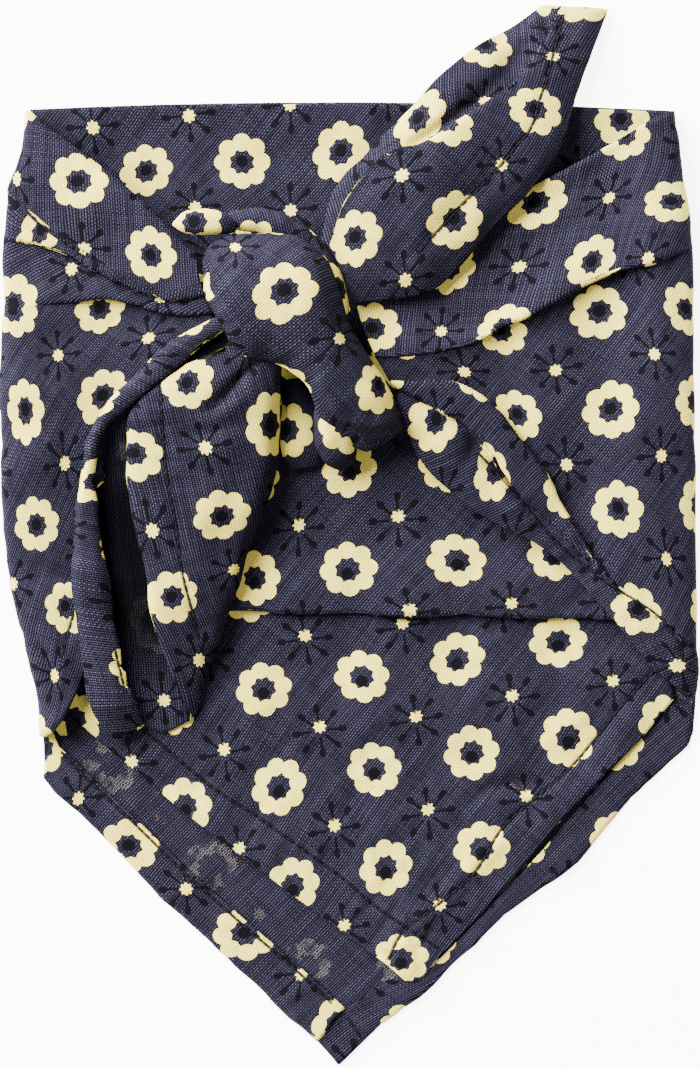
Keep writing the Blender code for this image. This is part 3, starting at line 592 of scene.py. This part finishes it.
def laid_round(grid):
    """Plan places of a closed grid's points, with the cloth laid out sideways from the crown of each ring."""
    plan = grid[..., :2].copy()
    for ring, flat in zip(grid, plan):
        crown = int(np.argmax(ring[:, 2]))
        reach = reach_along(ring)
        quarter = len(ring) // 4
        sideways = ring[min(crown + quarter, len(ring) - 1), :2] - ring[max(crown - quarter, 0), :2]
        sideways /= max(np.linalg.norm(sideways), 1e-6)
        flat[:] = ring[crown, :2] + np.outer(reach - reach[crown], sideways)
    return plan


def unrolled(grid, reference):
    """Plan places of the grid's points, with the cloth before the reference column laid out to its side."""
    plan = grid[..., :2].copy()
    if reference:
        steps = np.linalg.norm(np.diff(grid, axis=1), axis=2)
        outwards = np.array([math.copysign(1, plan[0, 0, 0]), 0])
        reach = np.cumsum(steps[:, reference - 1 :: -1], axis=1)[:, ::-1]
        plan[:, :reference] = plan[:, reference, None] + outwards * reach[..., None]
    rise = np.linalg.norm(np.diff(grid, axis=0), axis=2)
    run = np.diff(plan, axis=0)
    length = np.maximum(np.linalg.norm(run, axis=2), 1e-6)
    extra = run / length[..., None] * np.maximum(rise - length, 0)[..., None]
    hidden = np.concatenate([np.zeros((1, *extra.shape[1:])), np.cumsum(extra, axis=0)])
    return plan + HIDDEN_SHARE * (hidden - hidden.mean(axis=0))


def lattice(marks, grain, first):
    """The whole-number place of each mark on the print's lattice, walking from mark to nearest mark."""
    turn = turned(-grain) / REPEAT
    placed = [(marks[0][0], np.array(first, float))]
    waiting = list(marks[1:])
    while waiting:
        spot, odd, near, base = min(
            ((s, o, p, b) for s, o in waiting for p, b in placed), key=lambda m: np.linalg.norm(m[0] - m[2])
        )
        guess = base + turn @ (spot - near)
        around = [np.round(guess) + step for step in ((0, 0), (1, 0), (-1, 0), (0, 1), (0, -1))]
        fitting = [c for c in around if (c.sum() - odd) % 2 == 0]
        placed.append((spot, min(fitting, key=lambda c: np.linalg.norm(c - guess))))
        waiting = [m for m in waiting if not np.array_equal(m[0], spot)]
    return np.array([p for p, _ in placed]), np.array([c for _, c in placed])


def print_places(name, plan, seen):
    """Where the laid out places in plan lie on the print, in repeats: a flower at each even lattice point,
    a star at each odd. The marks are seen from above, so each goes by the point of the cloth that is seen
    nearest to it."""
    row = PRINTS[name]
    marks = []
    for odd, kind in enumerate(("flowers", "stars")):
        for spot in np.array(row.get(kind, ()), float).reshape(-1, 2):
            gap = np.linalg.norm(seen[..., :2] - spot, axis=-1)
            near = np.argmax(np.where(gap < gap.min() + SEEN_NEAR, seen[..., 2], -1))
            marks.append((spot + plan.reshape(-1, 2)[near] - seen.reshape(-1, 3)[near, :2], odd))
    grain = row["grain"]
    if "places" in row:
        spots, places = np.array([spot for spot, _ in marks]), np.array(row["places"], float)
    else:
        spots, places = lattice(marks, grain, row.get("first", (marks[0][1], 0)))
    if len(spots) > 2:
        a, b = spots - spots.mean(axis=0), places - places.mean(axis=0)
        cross = (a[:, 0] * b[:, 1] - a[:, 1] * b[:, 0]).sum()
        grain = -math.degrees(math.atan2(cross, (a * b).sum()))
    turn = turned(-grain) / REPEAT
    left_over = places - spots @ turn.T
    shift = left_over.mean(axis=0)

    def pull(places_from):
        return bell(np.linalg.norm(places_from[..., None, :] - spots, axis=-1), PULL_REACH)

    weights = np.linalg.solve(pull(spots) + PULL_GIVE * np.eye(len(spots)), left_over - shift)
    return plan @ turn.T + shift + pull(plan) @ weights


def printed(prints, plan, seen, per_span):
    """The places on the print of cloth that runs from rail to rail, where each rail has its own print."""
    laid = {name: print_places(name, plan, seen) for name in set(prints)}
    places = np.empty_like(plan)
    for i, (near, far) in enumerate(zip(prints, prints[1:])):
        for j in range(per_span + 1):
            row = i * per_span + j
            places[row] = mix(laid[near][row], laid[far][row], j / per_span)
    return places


def from_rails(values, per_span):
    """Values at each row of cloth, from the values at its rails."""
    return np.interp(np.arange((len(values) - 1) * per_span + 1) / per_span, np.arange(len(values)), values)


def normals(grid):
    n = np.cross(np.gradient(grid, axis=1), np.gradient(grid, axis=0))
    n /= np.maximum(np.linalg.norm(n, axis=2, keepdims=True), 1e-9)
    return n * np.where(n[..., 2].mean() < 0, -1, 1)


def from_line(plan, line):
    """How far each plan place is to the left (plus) or right (minus) of a line, how far along the line
    that is, from 0 to 1, and the line's length."""
    line = curve(line, LINE_STEPS)
    run = np.diff(line, axis=0)
    length = np.linalg.norm(run, axis=1)
    nearest, along = np.full(plan.shape[:-1], 1e9), np.zeros(plan.shape[:-1])
    for a, d, size, begun in zip(line[:-1], run, length, reach_along(line)):
        off = plan - a
        t = np.clip((off @ d) / size**2, 0, 1)
        side = np.where(d[0] * off[..., 1] - d[1] * off[..., 0] < 0, -1, 1)
        gap = side * np.linalg.norm(plan - (a + t[..., None] * d), axis=-1)
        closer = np.abs(gap) < np.abs(nearest)
        nearest = np.where(closer, gap, nearest)
        along = np.where(closer, begun + t * size, along)
    return nearest, along / length.sum(), length.sum()


def bell(gap, width):
    return np.exp(-((gap / width) ** 2))


def within(values, low, high):
    return (values > low) & (values < high)


def creased(name, grid):
    """The grid pushed along its normals by its creases, its pressed seams, and the cloth's own softness.
    A hem goes with the panel that it is turned up on."""
    name = "outer_panel" if name.startswith("outer_hem") else name
    plan = grid[..., :2]
    push = np.zeros(plan.shape[:-1])
    for crease in CREASES.get(name, ()):
        gap, along, _ = from_line(plan, crease["line"])
        push += crease["depth"] * bell(gap, crease["width"]) * np.maximum(np.sin(np.pi * along), 0) ** 0.6
    for seam in SEAMS.get(name, ()):
        gap, along, length = from_line(plan, seam)
        inside = within(along, SEAM_END, 1 - SEAM_END)
        push -= SEAM_DEPTH * bell(gap, SEAM_WIDTH) * inside
        pucker = sum(share * np.sin(along * length * rate + start) for rate, share, start in PUCKER_WAVES)
        push += PUCKER_DEPTH * pucker * bell(gap, PUCKER_WIDTH) * inside
    draw = np.random.default_rng(sum(map(ord, name)))
    for wave, depth in SOFT_WAVES:
        for _ in range(WAVES_EACH):
            way = turned(draw.uniform(0, 360)) @ (2 * np.pi / wave / draw.uniform(*WAVE_SPREAD), 0)
            push += depth * np.sin(plan @ way + draw.uniform(0, 6.28))
    pushed = grid + normals(grid) * push[..., None]
    lowest = grid[..., 2] - OUTER_SINK if name == "outer_panel" else LOWEST
    pushed[..., 2] = np.maximum(pushed[..., 2], lowest)
    return pushed


def seam_gap(name, plan):
    """How far each plan place is from the nearest row of stitches, plus on its left, and whether it is
    beside it."""
    nearest, beside = np.full(plan.shape[:-1], 50.0), np.zeros(plan.shape[:-1])
    for seam in SEAMS.get(name, ()):
        gap, along, _ = from_line(plan, seam)
        closer = np.abs(gap) < np.abs(nearest)
        nearest = np.where(closer, gap, nearest)
        in_reach = (np.abs(gap) < GROOVE_REACH) & within(along, GROOVE_END, 1 - GROOVE_END)
        beside = np.where(closer, in_reach, beside)
    return nearest, beside


def linked(name, data, place=(0, 0, 0)):
    made = bpy.data.objects.new(name, data)
    made.location = place
    bpy.context.scene.collection.objects.link(made)
    return made


def corners(index):
    return np.stack([index[:-1, :-1], index[:-1, 1:], index[1:, 1:], index[1:, :-1]], axis=-1)


pieces = {}


def cloth(name, base, places, thickness=0.0, closed=False, **values):
    """A piece of cloth, which stands for its node: a mesh over the grid of points, creased, with its place on
    the print as a UV map and what the material reads kept at its points. A closed grid is a bag, and an open
    one is a wall."""
    grid = creased(name, base)
    rows, columns = grid.shape[:2]
    flat = np.arange(rows * columns).reshape(rows, columns)
    index = flat.copy()
    if closed:
        grid[0], grid[-1] = grid[0].mean(axis=0), grid[-1].mean(axis=0)
        index[:, -1] = index[:, 0]
    mesh = bpy.data.meshes.new(name + "_cloth")
    mesh.from_pydata((grid.reshape(-1, 3) * MM).tolist(), [], corners(index).reshape(-1, 4).tolist())
    on_print = places.reshape(-1, 2)[corners(flat).reshape(-1)]
    mesh.uv_layers.new(name="cloth").data.foreach_set("uv", on_print.reshape(-1).astype(np.float32))
    fields = {"wrong_side": 0, "shade": 0, "slip": 0, **values}
    fields["from_seam"], fields["beside_seam"] = seam_gap(name, base[..., :2])
    for label, value in fields.items():
        value = np.broadcast_to(value, (rows, columns)).reshape(-1).astype(np.float32)
        mesh.attributes.new(label, "FLOAT", "POINT").data.foreach_set("value", value)
    mesh.shade_smooth()
    mesh.materials.append(bpy.data.materials["cloth"])
    made = linked(name + "_cloth", mesh)
    if thickness:
        wall = made.modifiers.new("cloth", "SOLIDIFY")
        wall.thickness = thickness * MM
        wall.offset = 0.0
    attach(made, "root")
    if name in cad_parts:
        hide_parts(name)
    "wrong_side" if name == "outer_panel" else "printed_cloth"
    pieces[name] = made


def stretch(name, lines, prepare=list, trough=False):
    """A stretch of double cloth strung over its lines. A trough shows the wrong side of the cloth."""
    rails, prints = strung(lines, prepare)
    base = curve(rails, ACROSS)
    plan = unrolled(base, ROLLED_POINTS * ALONG if prepare is rolled else 0)
    row, point = np.arange(len(base)) / ACROSS, np.arange(base.shape[1]) / ALONG
    # painted shade in the trough, darker or lighter along it by HOLLOW_DARK
    shade = np.minimum(3 * from_rails([PRINTS[p].get("shade", 0.0) for p in prints], ACROSS), 1)
    shade = np.outer(shade, np.interp(point, *zip(*HOLLOW_DARK)))
    inside = np.outer(within(row, *TROUGH_ROWS), within(point, *TROUGH_POINTS)) if trough else 0.0
    cloth(name, base, printed(prints, plan, base, ACROSS), DOUBLE, wrong_side=inside, shade=shade)


def panel(name, rows, wrong_side=0.0, height=None, print_name=None):
    """A flat layer through its rows, each from its left to its right edge."""
    share = np.linspace(0, 1, PANEL_ALONG)[:, None]
    rails = []
    for row in rows:
        line = mix(np.array(row["left"], float), np.array(row["right"], float), share)
        line[:, 1] += row.get("bow", 0) * (1 - (2 * share[:, 0] - 1) ** 2)
        rails.append(np.column_stack([line, np.full(PANEL_ALONG, row.get("height", height))]))
    base = straight(rails, PANEL_ACROSS)
    prints = [row.get("print", print_name) for row in rows]
    slip = from_rails([PRINTS[p].get("slip", 0.0) for p in prints], PANEL_ACROSS)[:, None]
    places = printed(prints, base[..., :2], base, PANEL_ACROSS)
    cloth(name, base, places, SINGLE, wrong_side=wrong_side, slip=slip)


def hem(name, edges, print_name, height):
    """A hem turned up on a panel: from the fold at its outer edge to the row of stitches at its inner one."""
    outer, inner = straight(edges["outer"], ALONG), straight(edges["inner"], ALONG)
    rows = []
    for share in np.linspace(0, 1, 2 * ACROSS + 1):
        rise = HEM_FOOT + height * min(share / HEM_FOLD, 1) ** 0.5
        rows.append(np.column_stack([mix(outer, inner, share), np.full(len(outer), rise)]))
    grid = np.array(rows)
    cloth(name, grid, print_places(print_name, grid[..., :2], grid), SINGLE)


def knot():
    """The wrap of the knot with the layers hidden under it, as a ring of cloth at each section."""
    rings = []
    for s in KNOT:
        upper, lower = np.array((s["upper"], s["lower"]), float)
        edge, foot = s["edge"], s["foot"]
        upper_core, lower_core = mix(upper, lower, KNOT_INSET), mix(lower, upper, KNOT_INSET)
        top = [(*mix(lower, upper, share), height) for share, height in zip(KNOT_ACROSS, s["top"])]
        rise = [(*lower_core, foot), (*lower_core, edge - KNOT_RIM), (*lower, edge)]
        fall = [(*upper, edge), (*upper_core, edge - KNOT_RIM), (*upper_core, foot)]
        rings.append(curve([*rise, *top, *fall, rise[0]], ACROSS))
    grid = curve(rings, ALONG // 2)
    cloth("knot", grid, print_places("knot", laid_round(grid), grid), closed=True)


def strand(name, sections):
    """A rounded strand of gathered cloth, through elliptical sections across its run."""
    spots = np.array([(*s["at"], s["height"]) for s in sections], float)
    angles = np.linspace(0, 2 * np.pi, 4 * ACROSS + 1) - np.pi / 2
    rings = []
    for i, s in enumerate(sections):
        run = spots[min(i + 1, len(spots) - 1)] - spots[max(i - 1, 0)]
        sideways = np.cross(run, (0, 0, 1.0))
        sideways /= np.linalg.norm(sideways)
        half_width, half_height = s["size"]
        up = np.outer(np.sin(angles) * half_height, (0, 0, 1.0))
        rings.append(spots[i] + np.outer(np.cos(angles) * half_width, sideways) + up)
    grid = curve(rings, ALONG)
    # painted shade where the strand goes in under the knot
    shade = from_rails([s.get("shade", 0.0) for s in sections], ALONG)[:, None]
    cloth(name, grid, print_places(name, laid_round(grid), grid), closed=True, shade=shade)


def stitches():
    """All the hem stitches that show, as short rounded threads laid on the cloth."""
    depsgraph = bpy.context.evaluated_depsgraph_get()
    points, faces = [], []
    for name, seams in SEAMS.items():
        below = BVHTree.FromObject(pieces[name], depsgraph)
        for seam in seams:
            path = curve(seam, STITCH_STEPS)
            reach = reach_along(path)
            for begin in np.arange(STITCH_START, reach[-1] - STITCH, STITCH_STEP):
                at = begin + STITCH * np.linspace(0, 1, len(STITCH_RISE))
                spots = np.column_stack([np.interp(at, reach, path[:, k]) for k in (0, 1)])
                add_thread(spots, below, points, faces)
    mesh = bpy.data.meshes.new("stitches")
    mesh.from_pydata(points, [], faces)
    mesh.materials.append(bpy.data.materials["thread"])
    mesh.shade_smooth()
    made = linked("stitches", mesh)
    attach(made, "root")


def add_thread(spots, below, points, faces):
    """One stitch: a rounded thread through the spots, laid on the cloth below and sunk at both ends."""
    centres = []
    for x, y in spots:
        hit = below.ray_cast(Vector((x * MM, y * MM, 0.1)), Vector((0, 0, -1)))
        if hit[0] is None:
            return
        centres.append(np.array(hit[0]) / MM)
    centres = np.array(centres)
    centres[:, 2] += STITCH_RISE
    sideways = np.cross(centres[-1] - centres[0], (0, 0, 1.0))
    sideways /= np.linalg.norm(sideways)
    first = len(points)
    for centre in centres:
        for a in 2 * np.pi * np.arange(STITCH_SIDES) / STITCH_SIDES:
            spot = centre + STITCH_RADIUS * (np.cos(a) * sideways + np.sin(a) * np.array((0, 0, 1.0)))
            points.append(tuple(spot * MM))
    for ring in range(first, len(points) - STITCH_SIDES, STITCH_SIDES):
        for k in range(STITCH_SIDES):
            a, b = ring + k, ring + (k + 1) % STITCH_SIDES
            faces.append((a, b, b + STITCH_SIDES, a + STITCH_SIDES))


class Flow:
    """A value in a node tree, so that a material can be written as arithmetic."""

    def __init__(self, tree, value):
        self.tree, self.value = tree, value

    def op(self, operation, *others):
        node = self.tree.nodes.new("ShaderNodeMath")
        node.operation = operation
        for socket, value in zip(node.inputs, (self, *others)):
            feed(self.tree, socket, value)
        return Flow(self.tree, node.outputs[0])

    def __add__(self, other):
        return self.op("ADD", other)

    def __sub__(self, other):
        return self.op("SUBTRACT", other)

    def __mul__(self, other):
        return self.op("MULTIPLY", other)

    def __truediv__(self, other):
        return self.op("DIVIDE", other)

    def unless(self):
        return self.op("MULTIPLY", -1.0) + 1.0

    def eased(self, low, high):
        node = self.tree.nodes.new("ShaderNodeMapRange")
        node.interpolation_type = "SMOOTHSTEP"
        for label, value in (("Value", self), ("From Min", low), ("From Max", high)):
            feed(self.tree, node.inputs[label], value)
        return Flow(self.tree, node.outputs["Result"])

    def within(self, limit, edge):
        """1 where the value is below the limit, 0 where it is above, with a soft edge between."""
        return self.eased(limit - edge, limit + edge).unless()


def feed(tree, socket, value):
    """Gives a socket a flow, another socket's value, a colour or a number."""
    value = value.value if isinstance(value, Flow) else value
    if isinstance(value, bpy.types.NodeSocket):
        tree.links.new(value, socket)
    else:
        socket.default_value = (*value, 1.0) if isinstance(value, tuple) else value


def blended(tree, share, first, second):
    """A colour between two, each a socket or a fixed colour."""
    node = tree.nodes.new("ShaderNodeMix")
    node.data_type = "RGBA"
    for socket, value in ((node.inputs["Factor"], share), (node.inputs[6], first), (node.inputs[7], second)):
        feed(tree, socket, value)
    return node.outputs[2]


def noise(tree, vector, scale, detail=2.0, stretched=None):
    if stretched:
        mapping = tree.nodes.new("ShaderNodeMapping")
        mapping.inputs["Scale"].default_value = stretched
        tree.links.new(vector, mapping.inputs["Vector"])
        vector = mapping.outputs["Vector"]
    node = tree.nodes.new("ShaderNodeTexNoise")
    for label, value in (("Scale", scale), ("Detail", detail), ("Vector", vector)):
        feed(tree, node.inputs[label], value)
    return Flow(tree, node.outputs["Fac"])


def kept(tree, label):
    """A value kept at the points of the mesh."""
    node = tree.nodes.new("ShaderNodeAttribute")
    node.attribute_name = label
    return Flow(tree, node.outputs["Fac"])


def print_masks(tree, ragged_at, u, v, slip):
    """The cream and the black of the print, from places in repeats, moved by the slip in millimetres."""
    u, v = u + slip[0] / REPEAT, v + slip[1] / REPEAT
    column, row = (u + 0.5).op("FLOOR"), (v + 0.5).op("FLOOR")
    odd = ((column + row) * 0.5).op("FRACT").op("GREATER_THAN", 0.25)
    x, y = (u - column) * REPEAT, (v - row) * REPEAT
    radius = (x * x + y * y).op("SQRT")
    angle = y.op("ARCTAN2", x)
    eighth = math.pi / 4
    folded = ((angle / eighth + 0.5).op("FRACT") - 0.5) * eighth
    ahead, aside = radius * folded.op("COSINE"), (radius * folded.op("SINE")).op("ABSOLUTE")
    ragged = (noise(tree, ragged_at, 42.0, 1.0) - 0.5) * PRINT_RAGGED
    radius, ahead = radius + ragged, ahead + ragged

    from_petal = ((ahead - PETAL_RING) * (ahead - PETAL_RING) + aside * aside).op("SQRT")
    petals = from_petal.within(PETAL, PRINT_EDGE).op("MAXIMUM", radius.within(PETAL_RING, PRINT_EDGE))
    between = folded.op("ABSOLUTE") / (eighth / 2)
    hole = between.op("POWER", 1.4) * FLOWER_POINT + FLOWER_HOLE
    flower = petals * radius.eased(hole - PRINT_EDGE, hole + PRINT_EDGE) * odd.unless()
    eye = radius.eased(FLOWER_EYE - 0.25, FLOWER_EYE + 0.15).unless() * odd.unless()

    centre = radius.within((angle * 8.0).op("COSINE") * STAR_WAVE + STAR_CENTRE, PRINT_EDGE) * odd
    stem = aside.within(STAMEN_WIDTH, 0.1)
    stem = stem * ahead.op("GREATER_THAN", STAMEN_START) * ahead.op("LESS_THAN", STAMEN_TIP)
    along, over = (ahead - STAMEN_TIP) / TIP_LENGTH, aside / TIP_WIDTH
    tip = (along * along + over * over).op("SQRT").within(1.0, 0.1)
    return flower.op("MAXIMUM", centre), eye.op("MAXIMUM", stem.op("MAXIMUM", tip) * odd)


NAVY_GAP = (0.002, 0.0018, 0.0038)
NAVY_THREAD = (0.0155, 0.0137, 0.0235)
NAVY_LIGHT = (0.056, 0.0505, 0.085)
CREAM = (0.95, 0.79, 0.125)
CREAM_GAP = (0.52, 0.42, 0.09)
SPECK = (0.42, 0.40, 0.26)  # cream that comes through to the wrong side
BLACK = (0.0022, 0.002, 0.003)
PAINTED_SHADE = (0.0, 0.0, 0.0)  # painted shade inside a deep fold
STITCH_COLOUR = (0.005, 0.0045, 0.008)
TABLE_COLOUR = (0.93, 0.93, 0.93)


def weave(tree, uv, u, v):
    """The plain weave: its height, how high each warp and weft thread is across, and the slubs along them."""
    wobble = (noise(tree, uv, 3.0) - 0.5) * 0.03
    warp = ((u + wobble) * (math.pi * REPEAT / WARP)).op("SINE")
    weft = ((v - wobble) * (math.pi * REPEAT / WEFT)).op("SINE")
    warp_up = (warp * weft).op("GREATER_THAN", 0.0)
    warp, weft = warp.op("ABSOLUTE"), weft.op("ABSOLUTE")
    over, under = warp * (weft * 0.5 + 0.5), weft * (warp * 0.7 + 0.1)
    height = over * warp_up + under * warp_up.unless()
    slub_warp, slub_weft = (noise(tree, uv, 1.0, stretched=way) for way in ((26, 0.8, 1), (0.8, 26, 1)))
    return height, warp, weft, (slub_warp * warp_up + slub_weft * warp_up.unless()).eased(0.3, 0.75)


def split(tree, vector):
    node = tree.nodes.new("ShaderNodeSeparateXYZ")
    tree.links.new(vector, node.inputs[0])
    return [Flow(tree, socket) for socket in node.outputs]


def make_cloth():
    """The printed cloth: a navy plain weave with the cream and the black printed over its threads, and
    painted shade in deep folds and along the seams.
    """
    material = bpy.data.materials.new("cloth")
    material.use_nodes = True
    tree = material.node_tree
    map_node = tree.nodes.new("ShaderNodeUVMap")
    map_node.uv_map = "cloth"
    uv = map_node.outputs["UV"]
    u, v, _ = split(tree, uv)
    height, warp, weft, slub = weave(tree, uv, u, v)
    lit = height.eased(0.24, 0.92)
    navy = blended(tree, lit, NAVY_GAP, blended(tree, slub, NAVY_THREAD, NAVY_LIGHT))
    cream_thread = blended(tree, lit, CREAM_GAP, CREAM)

    up = split(tree, tree.nodes.new("ShaderNodeNewGeometry").outputs["Normal"])[2]
    wrong = kept(tree, "wrong_side").op("GREATER_THAN", 0.5) * up.op("GREATER_THAN", 0.0)
    # the pressed groove beside a seam: it dents the bump, and it is given painted shade
    groove_and_painted_shade = kept(tree, "from_seam").op("ABSOLUTE").eased(0.3, 0.75).unless()
    groove_and_painted_shade = groove_and_painted_shade * kept(tree, "beside_seam").op("GREATER_THAN", 0.5)
    cream, _ = print_masks(tree, uv, u, v, (0.0, 0.0))
    slip = [kept(tree, "slip") * (front - usual) + usual for usual, front in zip(SLIP, FRONT_SLIP)]
    _, black = print_masks(tree, uv, u, v, slip)
    specks = warp.eased(0.3, 0.55).unless() * weft.eased(0.3, 0.55).unless()
    specks = specks * noise(tree, uv, 4.5, 1.0).eased(0.42, 0.58)
    colour = blended(tree, cream * wrong.unless(), navy, cream_thread)
    for share, over in (
        (cream * wrong * specks * 0.8, SPECK),
        (black * wrong.unless() * 0.93, BLACK),
        # painted shade along the seams' grooves
        (groove_and_painted_shade * 0.88, BLACK),
        # painted shade: the left tail's trough and the strand going in under the knot darkened toward black
        (kept(tree, "shade") * 0.88, PAINTED_SHADE),
    ):
        colour = blended(tree, share, colour, over)

    bump = tree.nodes.new("ShaderNodeBump")
    shader = tree.nodes["Principled BSDF"]
    for socket, value in (
        (bump.inputs["Strength"], 0.55),
        (bump.inputs["Distance"], 0.25 * MM),
        (bump.inputs["Height"], height + slub * 0.25 - groove_and_painted_shade * 1.6),
        (shader.inputs["Base Color"], colour),
        (shader.inputs["Normal"], bump.outputs["Normal"]),
        (shader.inputs["Roughness"], 0.82),
        (shader.inputs["Specular IOR Level"], 0.02),
    ):
        feed(tree, socket, value)


def make_plain(name, colour, roughness, glow=0.0):
    made = bpy.data.materials.new(name)
    made.use_nodes = True
    shader = made.node_tree.nodes["Principled BSDF"]
    shader.inputs["Base Color"].default_value = (*colour, 1.0)
    shader.inputs["Roughness"].default_value = roughness
    shader.inputs["Specular IOR Level"].default_value = 0.1
    shader.inputs["Emission Color"].default_value = (1.0, 1.0, 1.0, 1.0)
    shader.inputs["Emission Strength"].default_value = glow
    return made


# The studio, in metres: lamps that face the table's middle, and a picture that is TALL at a height of NEAR.
LAMPS = table(
    "name place size power",
    ("key", (-2.4, 1.9, 1.8), 3.9, 1560),
    ("fill", (0.4, -0.3, 1.8), 1.2, 14),
)
SKY, TABLE_GLOW = 0.3, 6.5
TABLE_HALF, TABLE_TOP = 3, -0.0003
LENS, SENSOR = 150, 36
TALL, NEAR = 0.356, 0.008


def studio():
    """A pale table, soft light from the upper left and above, and a camera that looks straight down."""
    mesh = bpy.data.meshes.new("table")
    half = TABLE_HALF
    square = [(-half, -half, 0), (half, -half, 0), (half, half, 0), (-half, half, 0)]
    mesh.from_pydata(square, [], [(0, 1, 2, 3)])
    mesh.materials.append(make_plain("table", TABLE_COLOUR, 0.9, TABLE_GLOW))
    linked("table", mesh, (0, 0, TABLE_TOP))
    for lamp in LAMPS:
        light = bpy.data.lights.new(lamp["name"], "AREA")
        light.shape = "DISK"
        light.size = lamp["size"]
        light.energy = lamp["power"]
        made = linked(lamp["name"], light, lamp["place"])
        made.rotation_mode = "QUATERNION"
        made.rotation_quaternion = (-Vector(lamp["place"])).to_track_quat("-Z", "Y")
    world = bpy.data.worlds.new("world")
    bpy.context.scene.world = world
    world.use_nodes = True
    sky = world.node_tree.nodes["Background"]
    sky.inputs["Color"].default_value = (1.0, 1.0, 1.0, 1.0)
    sky.inputs["Strength"].default_value = SKY
    lens = bpy.data.cameras.new("camera")
    lens.lens, lens.sensor_width = LENS, SENSOR
    lens.clip_start, lens.clip_end = 0.05, 10
    bpy.context.scene.camera = linked("camera", lens, (0, 0, NEAR + TALL / 2 * LENS / (SENSOR / 2)))


make_cloth()
make_plain("thread", STITCH_COLOUR, 0.7)
panel("outer_panel", OUTER_ROWS, wrong_side=1.0, height=0.4, print_name="wrong_side")
hem("outer_hem_left", LEFT_HEM, "hem_left", 1.1)
hem("outer_hem_right", RIGHT_HEM, "hem_right", 0.6)
panel("inner_panel", INNER_ROWS)
stretch("front_left", FRONT_LEFT, rolled)
stretch("front_right", FRONT_RIGHT, rolled)
stretch("tail_left", TAIL_LEFT, trough=True)
stretch("tail_right", TAIL_RIGHT)
knot()
for name, sections in STRANDS.items():
    strand(name, sections)
stitches()
for sheet in SHEETS:
    [side * MM for side in sheet["cut"]]
    sheet["area"] * MM**2
studio()
